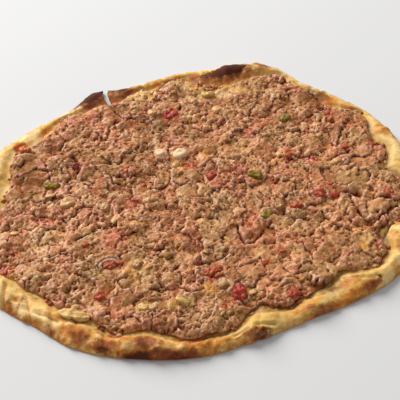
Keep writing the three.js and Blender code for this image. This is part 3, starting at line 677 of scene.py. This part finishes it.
def broken(size, rise, tilt, dome, crack_width, crack_depth, ragged, seed):
    """A layer broken into pieces: its height, the number of the piece at each place, and their count."""
    own = np.random.default_rng(seed)
    bend = [clouds(0.9 * size, seed + k) + 0.45 * clouds(0.3 * size, seed + k + 5) for k in (100, 110)]
    u = (across - left)[None, :] / (size * MM) + 3 + ragged / size * bend[0]
    v = (deep - near)[:, None] / (size * MM) + 3 + ragged / size * bend[1]
    i, j = u.astype(int), v.astype(int)
    wide, long = int(u.max()) + 4, int(v.max()) + 4
    middle_u, middle_v = own.uniform(0.0, 1.0, (2, long, wide))
    lean_u, lean_v = own.uniform(-tilt, tilt, (2, long, wide))
    top = own.uniform(-rise, rise, (long, wide))
    stretch = own.uniform(0.7, 1.45, (long, wide))
    gain = own.uniform(0, 0.35, (long, wide))
    nearest = np.full(u.shape, 9.0)
    second = nearest.copy()
    level = np.zeros(u.shape)
    number = np.zeros(u.shape, int)
    for step_v in range(-2, 3):
        for step_u in range(-2, 3):
            here = (j + step_v, i + step_u)
            du = (u - here[1] - middle_u[here]) * stretch[here]
            dv = (v - here[0] - middle_v[here]) / stretch[here]
            off = np.hypot(du, dv) - gain[here]
            closer = off < nearest
            second = np.where(closer, nearest, np.minimum(second, off))
            own_top = top[here] + lean_u[here] * du + lean_v[here] * dv - dome * 2 * (du ** 2 + dv ** 2)
            level = np.where(closer, own_top, level)
            number = np.where(closer, here[0] * wide + here[1], number)
            nearest = np.where(closer, off, nearest)
    crack = np.clip(1 - (second - nearest) * size / crack_width, 0, 1)
    crack *= np.clip(0.15 + 1.8 * clouds(1.2 * size, seed + 120), 0, 1.3)
    return level - crack_depth * crack, number, long * wide


def neighbours(field, **edge):
    """The field moved by one step to the right, to the left, to the back and to the front."""
    padded = np.pad(field, 1, **edge)
    return padded[1:-1, :-2], padded[1:-1, 2:], padded[:-2, 1:-1], padded[2:, 1:-1]


def averaged(field, times):
    for _ in range(times):
        field = sum(neighbours(field, mode="edge")) / 8 + field / 2
    return field


def spots_over_bed(ovals, soften):
    u, v = np.meshgrid(across, deep)
    return spots(np.column_stack([u.ravel(), v.ravel()]), ovals, soften).reshape(rows, columns)


def gap_depth(gap):
    """How deep a gap is at each place of the bed, in millimetres; its line wanders a little."""
    line, half_width, depth = gap
    u, v = np.meshgrid(across / MM, deep / MM)
    u = u + 1.3 * clouds(5, 171)
    v = v + 1.3 * clouds(5, 181)
    nearest = np.full((rows, columns), 99.0)
    for (x0, y0), (x1, y1) in zip(line, line[1:]):
        along = ((u - x0) * (x1 - x0) + (v - y0) * (y1 - y0)) / ((x1 - x0) ** 2 + (y1 - y0) ** 2)
        along = np.clip(along, 0, 1)
        nearest = np.minimum(nearest, np.hypot(u - x0 - along * (x1 - x0), v - y0 - along * (y1 - y0)))
    return depth * np.clip(1.3 - nearest / (0.8 * half_width), 0, 1)


def top_at(faces, x, y):
    """Height of the topmost face at a place, or None beside the body."""
    place = faces.ray_cast(Vector((x, y, 1.0)), Vector((0, 0, -1)))[0]
    return None if place is None else place.z


def put_tops(field, node, in_columns, in_rows):
    """Writes the height of a solid's top into the field, where it has one."""
    work = copy_of(node)
    bmesh.ops.triangulate(work, faces=work.faces)
    faces = BVHTree.FromBMesh(work)
    work.free()
    for j in in_rows:
        for i in in_columns:
            found = top_at(faces, across[i], deep[j])
            if found is not None:
                field[j, i] = found


bed = np.full((rows, columns), np.nan)
put_tops(bed, "mince", range(columns), range(rows))
inside = ~np.isnan(bed)

# The pockets of the diced pieces are filled level with their surroundings.
diced = [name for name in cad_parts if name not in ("crust", "mince")]
pocketed = np.zeros((rows, columns), bool)
top_of_dice = np.full((rows, columns), np.nan)
for name in diced:
    low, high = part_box(name)
    near_u = (across > low.x - POCKET_MARGIN) & (across < high.x + POCKET_MARGIN)
    near_v = (deep > low.y - POCKET_MARGIN) & (deep < high.y + POCKET_MARGIN)
    pocketed |= near_v[:, None] & near_u[None, :]
    put_tops(top_of_dice, name, np.flatnonzero(near_u), np.flatnonzero(near_v))
known = inside & ~pocketed
mean_level = bed[known].mean()
filled = np.where(known, bed, mean_level)
for _ in range(FILL_ROUNDS):
    filled = np.where(known, bed, averaged(filled, 1))
ground = averaged(np.where(inside, filled, mince_low.z), 1)

# The mince leaves the middle of each diced piece bare, and close round it stands hardly higher than it.
covered = np.where(np.isnan(top_of_dice), 0.0, 1.0)
shown = averaged(covered, 2) + 0.25 * clouds(3, 161) > 0.5
lid = np.where(np.isnan(top_of_dice), 0.0, top_of_dice)
for _ in range(LID_ROUNDS):
    lid = np.stack([*neighbours(lid), lid]).max(0)
beside = lid > 0
shown &= ~np.isnan(top_of_dice)
top_of_dice = np.where(np.isnan(top_of_dice), lid, top_of_dice)

smoothness = spots_over_bed([(*slab, 1.0) for slab in SMOOTH_SLABS], 0.25)
smoothness *= np.clip(0.8 + 0.5 * clouds(9, 61), 0, 1)
crumble = np.clip(1.0 - 0.6 * smoothness + 0.35 * clouds(25, 71), 0.25, 1.3)

slabs, slab_number, slab_count = broken(*SLABS)
lumps, lump_number, lump_count = broken(*LUMPS)
grains, grain_number, grain_count = broken(*GRAINS)
relief = slabs + crumble * (lumps + grains + 0.7 * clouds(5.5, 91) + 0.4 * clouds(2.6, 95))
inner = averaged(np.where(inside, 1.0, 0.0), 12)
relief -= relief[inside].mean() + 0.15
relief *= np.clip(2 * inner - 0.6, 0.3, 1)
thin = np.clip(spots_over_bed(THIN, 0.6) * (1 + 0.6 * clouds(4, 191)), 0, 1)
relief = relief * (1 - 0.5 * thin) - 0.7 * thin
for gap in GAPS:
    relief -= 1.2 * gap_depth(gap) * (0.8 + 0.5 * clouds(5, 151))
height = ground + relief * MM
height = np.where(shown, np.minimum(height, top_of_dice - DICE_SHOWN), height)
height = np.where(beside & ~shown, np.minimum(height, lid + 0.1 * MM), height)
height = np.where(inside, np.clip(height, mince_low.z + 0.5 * MM, top_limit), mince_low.z)

# How deep each place lies in a fine pit or a broad crack, and how far it stands out of the bed.
pit = np.clip((averaged(height, 3) - height) / (0.3 * MM), 0, 1)
cavity = np.clip((averaged(height, 12) - height) / (0.9 * MM), 0, 1)
top = np.clip((height - averaged(height, 8)) / (0.5 * MM), 0, 1)
cavity = np.where(beside, 0.5, 1.0) * cavity

bed_grid = bmesh.new()
bmesh.ops.create_grid(bed_grid, x_segments=columns - 1, y_segments=rows - 1, size=0.5)
grid_span = Vector((across[-1] - across[0], deep[-1] - deep[0], 1))
grid_middle = Vector(((across[-1] + across[0]) / 2, (deep[-1] + deep[0]) / 2, 0))
bmesh.ops.scale(bed_grid, verts=bed_grid.verts, vec=grid_span)
bmesh.ops.translate(bed_grid, verts=bed_grid.verts, vec=grid_middle)
outside = []
for corner in bed_grid.verts:
    i = round((corner.co.x - left) / STEP)
    j = round((corner.co.y - near) / STEP)
    corner.co.z = height[j, i]
    if not inside[j, i]:
        outside.append(corner)
bmesh.ops.delete(bed_grid, geom=outside, context="VERTS")
loose_ends = [corner for corner in bed_grid.verts if len(corner.link_faces) < 2]
bmesh.ops.delete(bed_grid, geom=loose_ends, context="VERTS")
rim_corners = [corner for corner in bed_grid.verts if corner.is_boundary]
for _ in range(3):
    bmesh.ops.smooth_vert(
        bed_grid, verts=rim_corners, factor=0.5, use_axis_x=True, use_axis_y=True, use_axis_z=False
    )
rim_edges = [edge for edge in bed_grid.edges if edge.is_boundary]
wall = bmesh.ops.extrude_edge_only(bed_grid, edges=rim_edges)
foot = [part for part in wall["geom"] if isinstance(part, bmesh.types.BMVert)]
for corner in foot:
    corner.co.z = mince_low.z
foot_edges = [part for part in wall["geom"] if isinstance(part, bmesh.types.BMEdge) and part.is_boundary]
bmesh.ops.edgeloop_fill(bed_grid, edges=foot_edges)
bmesh.ops.recalc_face_normals(bed_grid, faces=bed_grid.faces)
bed_mesh = bpy.data.meshes.new("mince_bed")
bed_grid.to_mesh(bed_mesh)
bed_grid.free()
bed_mesh.shade_smooth()
mince_bed = bpy.data.objects.new("mince_bed", bed_mesh)
scene.collection.objects.link(mince_bed)

bed_places = corners(bed_mesh)
at_i = np.clip(np.round((bed_places[:, 0] - left) / STEP).astype(int), 0, columns - 1)
at_j = np.clip(np.round((bed_places[:, 1] - near) / STEP).astype(int), 0, rows - 1)
tones = np.random.default_rng(11)
meat_colours = np.array([paint(*colour)[:3] for colour, _ in MEAT_PAINTS])
often = np.array([share for _, share in MEAT_PAINTS], float)


def meat_colour(count):
    """A random colour of cooked meat for each of so many lumps."""
    return meat_colours[tones.choice(len(often), count, p=often / often.sum())]


def blended(base, colour, share):
    return base + (np.array(paint(*colour)[:3]) - base) * np.clip(share, 0, 1)[..., None]


own_grain = tones.uniform(0, 1, grain_count + 1)[grain_number]
bed_colour = SLAB_SHARE * meat_colour(slab_count + 1)[slab_number]
bed_colour = bed_colour + LUMP_SHARE * meat_colour(lump_count + 1)[lump_number]
bed_colour = bed_colour + GRAIN_SHARE * meat_colour(grain_count + 1)[grain_number]
own_lump = tones.uniform(-1, 1, lump_count + 1)[lump_number]
warm = clouds(16, 111)
bed_colour = blended(bed_colour, WARM_MEAT, 0.5 * np.clip(warm, 0, 1))
bed_colour = blended(bed_colour, DULL_MEAT, 0.6 * np.clip(-warm, 0, 1))
bed_colour = bed_colour * (1 + 0.22 * clouds(9, 101) + 0.12 * own_lump)[..., None]


def stain(ovals, soften, seed):
    """A stain's strength over the bed, taken up unevenly from grain to grain."""
    strength = spots_over_bed(ovals, soften) * (1 + 0.5 * clouds(5, seed))
    return np.clip(1.3 * strength - 0.55 * own_grain, 0, 1)


bed_colour = blended(bed_colour, GREY_MEAT, 0.8 * stain(GREYED, 0.5, 141))
bed_colour = blended(bed_colour, OIL_STAIN, 0.9 * stain(OILY, 0.5, 145))
bed_colour = blended(bed_colour, RED_STAIN, 0.85 * stain(REDDENED, 0.5, 149))
bed_colour = bed_colour * BED_TONE
bed_colour = bed_colour * (BED_GAIN + LIT_GAIN * spots_over_bed(LIT, 0.6))[..., None]
bed_colour = bed_colour * (1 - spots_over_bed(SHADED, 0.6)[..., None] * SHADE_DEPTH)
# A painted sheen: the tops that stand out of the bed are painted paler.
bed_colour = blended(bed_colour, PAINTED_SHEEN, 0.5 * soft_step(top, 0.2, 1.0))
bed_colour = blended(bed_colour, OILY_DOUGH, 0.85 * soft_step(thin + 0.5 * clouds(2.5, 195), 0.3, 0.7))
cavity *= 1 - 0.6 * thin
# Painted shade: the cracks and the fine pits of the bed are painted dark brown.
bed_colour = blended(bed_colour, CRACK_SHADE, 0.9 * soft_step(cavity, 0.03, 0.72))
bed_colour = blended(bed_colour, PIT_SHADE, 0.85 * soft_step(pit, 0.2, 1.0) * soft_step(cavity, 0.3, 0.9))


def store_colour(mesh, values):
    layer = mesh.attributes.new("own_colour", "FLOAT_COLOR", "POINT")
    opaque = np.column_stack([values, np.ones(len(values))])
    layer.data.foreach_set("color", opaque.astype(np.float32).ravel())


store_colour(bed_mesh, bed_colour[at_j, at_i])
store(bed_mesh, "smooth", smoothness[at_j, at_i])

meat, meat_shader = new_material("cooked_mince", 0.55)
tree = Tree(meat)
own_colour = tree.attribute("own_colour", "Color")
fine = tree.noise(1.1 * MM, 3, 0.6)
coarse = tree.step(tree.attribute("smooth"), 0.2, 0.9, 1.0, 0.5)
# Painted highlight and painted shade: fine speckles of the grain are painted paler and bluer, or darker.
grain_highlight = tree.maths("MULTIPLY", tree.step(fine, 0.5, 0.7), coarse)
shade = tree.maths("MULTIPLY", tree.step(fine, 0.5, 0.3), coarse)
colour = tree.mix(grain_highlight, own_colour, GRAIN_HIGHLIGHT_TINT, "MULTIPLY")
colour = tree.mix(shade, colour, GRAIN_SHADE_TINT, "MULTIPLY")
colour = tree.mix(tree.step(tree.noise(4 * MM, 4, 0.6), 0.55, 0.72, 0, 0.4), colour, paint(*RED_FLUSH))
colour = tree.mix(tree.step(tree.noise(5 * MM, 4, 0.6), 0.45, 0.3, 0, 0.4), colour, paint(*YELLOW_FLUSH))
roughness = tree.step(tree.noise(4 * MM), 0.35, 0.65, 0.4, 0.7)
gloss = tree.step(own_colour, 0.1, 0.36, 0.0, 0.55)
coarse_bump = tree.bump(tree.cells(1.4 * MM), 0.5 * MM, -0.7)
surface = tree.bump(tree.noise(0.9 * MM, 3), 0.35 * MM, 0.9, Normal=coarse_bump)
tree.feed(meat_shader, Base_Color=colour, Roughness=roughness, Specular_IOR_Level=gloss, Normal=surface)
bed_mesh.materials.append(meat)
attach(mince_bed, "root")
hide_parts("mince")


# ---- Loose crumbs of mince ----
# Grains that came apart in the heat and lie on the bed, stuck to it by their fat. They are lumpy and
# uneven, from one to four millimetres long. A few fell beside the bed, onto the bare rim.
CRUMB_SHAPES = 9
CRUMB_UNEVEN = 0.75
CRUMB_STRETCH = np.array([1.15, 1, 0.75])
STRETCH_RANGE = (0.6, 1.3)
CRUMB_TIP = 0.6
CRUMB_TONE = np.array([0.95, 0.86, 0.66])
OWN_COLOUR_RANGE = (0.3, 0.8)
LIGHTNESS_RANGE = (0.8, 1.25)

# Islands of crumbs on the bare dough at the back: [x, y, half length, half width, turn, chance].
ISLANDS = [(12, 105, 8, 5, 0, 1.0), (27, 107, 6, 4, 0, 1.0), (-4, 110, 7, 3, 0, 0.5)]


def lumpy(seed, subdivisions, unevenness):
    """One lumpy crumb about one unit across, as corner places and triangles."""
    work = bmesh.new()
    bmesh.ops.create_icosphere(work, subdivisions=subdivisions, radius=0.5)
    shift = Vector((seed * 3.7, seed * 1.3, -seed * 2.1))
    for corner in work.verts:
        bulge = noise.noise(corner.co * 2.6 + shift) + 0.6 * noise.noise(corner.co * 6.5 - shift)
        corner.co *= 1 + unevenness * bulge
    bmesh.ops.triangulate(work, faces=work.faces)
    places = np.array([corner.co for corner in work.verts])
    triangles = np.array([[corner.index for corner in face.verts] for face in work.faces])
    work.free()
    return places, triangles


crust_faces = BVHTree.FromObject(crust, bpy.context.evaluated_depsgraph_get())


def height_at(x, y):
    """Height of the bed at each place, with the column and the row that it lies in."""
    i = np.clip(np.round((x - left) / STEP).astype(int), 0, columns - 1)
    j = np.clip(np.round((y - near) / STEP).astype(int), 0, rows - 1)
    return height[j, i], i, j


def joined(name, templates, places, sizes, turns, picks):
    """Many small things as one mesh: copies of the templates, each sized, turned and placed."""
    all_places, all_triangles, owners = [], [], []
    total = 0
    for n, (place, size, turn, pick) in enumerate(zip(places, sizes, turns, picks)):
        shape, triangles = templates[pick]
        all_places.append((shape * size) @ np.array(turn).T + place)
        all_triangles.append(triangles + total)
        owners.append(np.full(len(shape), n))
        total += len(shape)
    mesh = bpy.data.meshes.new(name)
    mesh.from_pydata(np.concatenate(all_places), [], np.concatenate(all_triangles))
    mesh.shade_smooth()
    body = bpy.data.objects.new(name, mesh)
    scene.collection.objects.link(body)
    return body, np.concatenate(owners)


def free_spots(count, own, keep):
    """Seeded places over the bread where the chance given by keep allows one."""
    found = []
    while len(found) < count:
        j = own.integers(0, rows)
        i = own.integers(0, columns)
        if own.uniform() < keep[j, i]:
            off_u, off_v = own.uniform(-0.5, 0.5, 2) * STEP
            found.append((across[i] + off_u, deep[j] + off_v))
    return np.array(found)


def height_of_crust(x, y):
    found = top_at(crust_faces, x, y)
    return mince_low.z if found is None else found


def turned(turn, tip):
    """A thing turned about the upright, after it was tipped by so much."""
    return Matrix.Rotation(turn, 3, "Z") @ Matrix.Rotation(tip, 3, "X")


# The chance of a crumb at each place on the bed, and beside it, where the islands add to it.
on_bed = np.clip(0.5 + 0.4 * clouds(30, 121) - 0.5 * smoothness, 0.04, 1) * (inside & ~beside & ~pocketed)
off_bed = np.clip(2.2 * averaged(np.where(inside, 1.0, 0.0), 3) - 0.25, 0, 1) * ~inside
off_bed *= np.clip(0.25 + 1.2 * clouds(16, 125), 0, 1)
off_bed = np.maximum(off_bed, 0.8 * spots_over_bed(ISLANDS, 0.35) * ~inside)

# Each kind: [name, count, shortest, longest, subdivisions, chance], in millimetres.
CRUMBS = [
    ("fine_crumbs", 480, 1.2, 2.3, 1, on_bed), ("coarse_crumbs", 130, 2.2, 3.8, 2, on_bed),
    ("fallen_crumbs", 90, 1.8, 3.8, 1, off_bed),
]
for name, count, shortest, longest, subdivisions, keep in CRUMBS:
    own_draw = np.random.default_rng(count)
    shapes = [lumpy(seed, subdivisions, CRUMB_UNEVEN) for seed in range(CRUMB_SHAPES)]
    spot = free_spots(count, own_draw, keep)
    size = own_draw.uniform(shortest, longest, count) * MM
    stretch = own_draw.uniform(*STRETCH_RANGE, (count, 3)) * CRUMB_STRETCH
    ground_z, at_i, at_j = height_at(spot[:, 0], spot[:, 1])
    if keep is off_bed:
        ground_z = np.array([height_of_crust(x, y) for x, y in spot]) + 0.05 * size
    centre = np.column_stack([spot, np.minimum(ground_z, top_limit - 0.55 * size)])
    turns = [
        turned(own_draw.uniform(0, math.tau), own_draw.uniform(-CRUMB_TIP, CRUMB_TIP))
        for _ in range(count)
    ]
    picks = own_draw.integers(0, CRUMB_SHAPES, count)
    crumbs, owner = joined(name, shapes, centre, size[:, None] * stretch, turns, picks)
    own_share = np.where(keep is off_bed, 1.0, own_draw.uniform(*OWN_COLOUR_RANGE, count))[:, None]
    own_meat = meat_colour(count) * CRUMB_TONE
    crumb_colour = bed_colour[at_j, at_i] * (1 - own_share) + own_meat * own_share
    crumb_colour *= own_draw.uniform(*LIGHTNESS_RANGE, count)[:, None]
    store_colour(crumbs.data, crumb_colour[owner])
    crumbs.data.materials.append(meat)
    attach(crumbs, "root")


# ---- Diced vegetables ----
# Onion, tomato and pepper cut into pieces up to two centimetres long and kneaded into the mince. They
# show where the knife's faces came to the top, soft at the edges and wet with oil.


def vegetable(name, colours, smear, smeared, roughness, glow):
    """A cooked vegetable: three tones in soft patches, smeared with meat juice, a little see-through."""
    material, shader = new_material(name, roughness)
    wires = Tree(material)
    main, second, third = [paint(*colour) for colour in colours]
    colour = wires.mix(wires.step(wires.noise(3.5 * MM, 3), 0.35, 0.65), main, second)
    colour = wires.mix(wires.step(wires.noise(2.2 * MM, 3), 0.5, 0.68, 0, 0.8), colour, third)
    juice = wires.step(wires.noise(3 * MM, 4, 0.7), 0.52, 0.66, 0, smeared)
    colour = wires.mix(juice, colour, paint(*smear))
    surface = wires.bump(wires.noise(1.2 * MM, 3), 0.3 * MM, 0.5)
    wires.feed(
        shader, Base_Color=colour, Specular_IOR_Level=0.3, Normal=surface,
        Subsurface_Weight=glow, Subsurface_Radius=(1.4 * MM, 1.1 * MM, 0.7 * MM), Subsurface_Scale=1.0,
    )
    return material


# Each look: its finish, with three tones, the colour and share of the juice on it, its roughness and its
# glow. Then how far the piece swelled, its bulges and its knobs, in millimetres.
LOOKS = {
    "pale_onion": (("steamed_onion", [(240, 210, 166), (232, 190, 136), (250, 232, 204)],
                    (222, 170, 116), 0.3, 0.42, 0.2), (0.6, 0.4, 0.1)),
    "onion": (("fried_onion", [(224, 176, 116), (206, 152, 92), (236, 200, 150)],
               (180, 118, 70), 0.5, 0.42, 0.15), (0.3, 0.8, 0.25)),
    "yellow_onion": (("oily_onion", [(224, 184, 112), (208, 160, 88), (240, 212, 150)],
                      (190, 126, 76), 0.6, 0.42, 0.15), (0.2, 1.1, 0.5)),
    "soft_onion": (("soaked_onion", [(194, 146, 94), (174, 126, 76), (208, 164, 116)],
                    (164, 104, 66), 0.6, 0.42, 0.1), (0.1, 1.1, 0.6)),
    "tomato": (("ripe_tomato", [(188, 52, 34), (140, 34, 24), (222, 118, 88)],
                (192, 110, 72), 0.5, 0.48, 0.1), (0.4, 1.3, 0.7)),
    "soft_tomato": (("fried_tomato", [(182, 82, 48), (166, 62, 36), (204, 116, 76)],
                     (172, 104, 66), 0.8, 0.55, 0.1), (0.1, 1.3, 1.0)),
    "orange_tomato": (("oiled_tomato", [(188, 82, 40), (162, 66, 34), (202, 124, 72)],
                       (178, 114, 68), 0.95, 0.5, 0.1), (0.1, 1.3, 1.0)),
    "oily_tomato": (("browned_tomato", [(208, 118, 58), (190, 92, 46), (222, 150, 90)],
                     (186, 112, 70), 0.7, 0.5, 0.05), (0.0, 1.3, 1.0)),
    "dark_tomato": (("burnt_tomato", [(138, 62, 44), (120, 46, 34), (156, 84, 60)],
                     (130, 74, 50), 0.6, 0.6, 0.0), (0.0, 1.3, 0.9)),
    "green_pepper": (("cooked_pepper", [(136, 112, 26), (156, 126, 38), (104, 86, 18)],
                      (160, 98, 40), 0.55, 0.55, 0.0), (0.2, 1.2, 0.5)),
}
BULGE_SIZE = 3.6 * MM
KNOB_SIZE = 1.6 * MM

# The pieces that don't look like most of their kind, by number.
SPECIAL = {
    "onion": {"pale_onion": (2, 3), "yellow_onion": (6, 8, 13, 14), "soft_onion": (5, 10, 11, 12, 15)},
    "tomato": {
        "soft_tomato": (4, 5, 9, 10), "orange_tomato": (6, 7, 8), "dark_tomato": (11,),
        "oily_tomato": (12,),
    },
}
finishes = {look: vegetable(*finish) for look, (finish, _) in LOOKS.items()}
look_of = {
    f"{kind}_{number}": look
    for kind, looks in SPECIAL.items() for look, numbers in looks.items() for number in numbers
}
for name in diced:
    kind = name.rsplit("_", 1)[0]
    look = look_of.get(name, kind)
    swelling, bulge, knob = LOOKS[look][1]
    work = copy_of(name)
    bmesh.ops.subdivide_edges(work, edges=work.edges, cuts=1, use_grid_fill=True)
    piece = finer(work, f"cooked_{name}", SKIN_LEVELS)
    places = corners(piece.data)
    growth = swelling + bulge * noise_at(places, BULGE_SIZE, 5.0) + knob * noise_at(places, KNOB_SIZE, 9.0)
    moved = places + normals(piece.data) * growth[:, None] * MM
    moved[:, 2] = np.minimum(moved[:, 2], top_limit)
    move_corners(piece.data, moved)
    piece.data.materials.clear()
    piece.data.materials.append(finishes[look])
    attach(piece, "root")
    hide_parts(name)


# ---- Small bits among the mince ----
# Slivers of onion, skins of tomato and flecks of green pepper, three to nine millimetres long, that lie
# flat on the mince or are half sunk in it, stuck there by the fat. Each bit is given as [x, y, length,
# width, turn], in millimetres and degrees.
SLIVERS = [
    (25, -20, 6, 4.5, 60), (-97, -8, 7, 4.5, 20), (-116, -41, 6, 4, 0), (-53, -29, 8.5, 4, 70),
    (33, -88, 9, 5, 30), (-105, -80, 4, 3, 0), (-77, -79, 7, 3.5, 75), (-73, -100, 5, 3.5, 20),
    (-49, -90, 6, 2.5, 80), (110, -66, 5, 4, 0), (-15, 22, 7, 4, 60), (6, 62, 5, 3, 0),
    (84, 52, 4, 3, 40), (-62, 46, 4, 3, 10), (-6, -28, 4, 3, 30), (64, 8, 4, 3, 80), (-28, -4, 4, 2.6, 0),
    (46, 52, 4.5, 3, 20), (100, 12, 4, 3, 50), (-90, 26, 4, 2.6, 0), (18, -44, 4, 2.6, 120),
    (-66, -62, 4, 3, 40), (76, -44, 4, 3, 20), (58, 98, 5, 3, 10), (-26, 104, 5, 3, 0),
]
SKINS = [
    (-47, 21, 6, 4, 30), (-41, -12, 5, 3.5, 0), (-36, 3, 4, 3, 60), (-8, 26, 6, 4, 20), (2, 84, 4, 3, 0),
    (-52, -40, 5, 3.5, 40), (-116, -57, 3.5, 3, 0), (-118, -72, 5, 3, 80), (18, -69, 4, 3, 0),
    (42, -65, 5, 4, 50), (53, -57, 4, 3, 0), (62, 33, 5, 4, 70), (78, 28, 6, 4, 80), (92, 77, 5, 3.5, 60),
    (101, 41, 4, 3, 0), (119, 43, 5, 3.5, 60), (125, -5, 4, 4, 0), (72, 105, 5, 3, 0),
    (-48, -66, 4, 3, 0), (-70, -50, 4, 3, 20), (-98, -32, 4, 3, 0), (-38, 79, 4, 3, 90),
    (13, -76, 6, 3, 30), (-60, -93, 3, 2.5, 0), (88, 4, 4, 3, 0), (66, -88, 3, 2.5, 40),
    (-78, 22, 4, 3, 60), (30, 70, 3, 2.5, 0), (-20, -50, 3, 2.5, 20), (-23, 69, 9, 6, 70),
]
FLECKS = [
    (-110, -3, 3, 2, 0), (-14, -13, 3, 2, 40), (22, -34, 3, 2, 0), (70, 60, 3.5, 2, 0),
    (-88, -72, 3, 2, 0), (118, 12, 3, 2, 0), (-58, 62, 3, 2, 30),
]
BITS = [
    ("onion_slivers", "onion", "onion", SLIVERS), ("tomato_skins", "tomato", "soft_tomato", SKINS),
    ("pepper_flecks", "green_pepper", "green_pepper", FLECKS),
]
BIT_THICKNESS = 1.5
BIT_TIP = 0.35
BIT_UNEVEN = 0.5
BIT_SEEDS = range(20, 26)
bit_shapes = [lumpy(seed, 2, BIT_UNEVEN) for seed in BIT_SEEDS]
for name, kind, look, rows_of_bits in BITS:
    spot = np.array([row[:2] for row in rows_of_bits]) * MM
    size = np.array([(length, width, BIT_THICKNESS) for _, _, length, width, _ in rows_of_bits]) * MM
    own_draw = np.random.default_rng(len(rows_of_bits))
    ground_z = height_at(spot[:, 0], spot[:, 1])[0]
    centre = np.column_stack([spot, np.minimum(ground_z, top_limit - 0.6 * size[:, 2])])
    turns = [turned(math.radians(row[4]), own_draw.uniform(-BIT_TIP, BIT_TIP)) for row in rows_of_bits]
    picks = own_draw.integers(0, len(bit_shapes), len(spot))
    bits, _ = joined(name, bit_shapes, centre, size, turns, picks)
    bits.data.materials.append(finishes[look])
    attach(bits, "root")
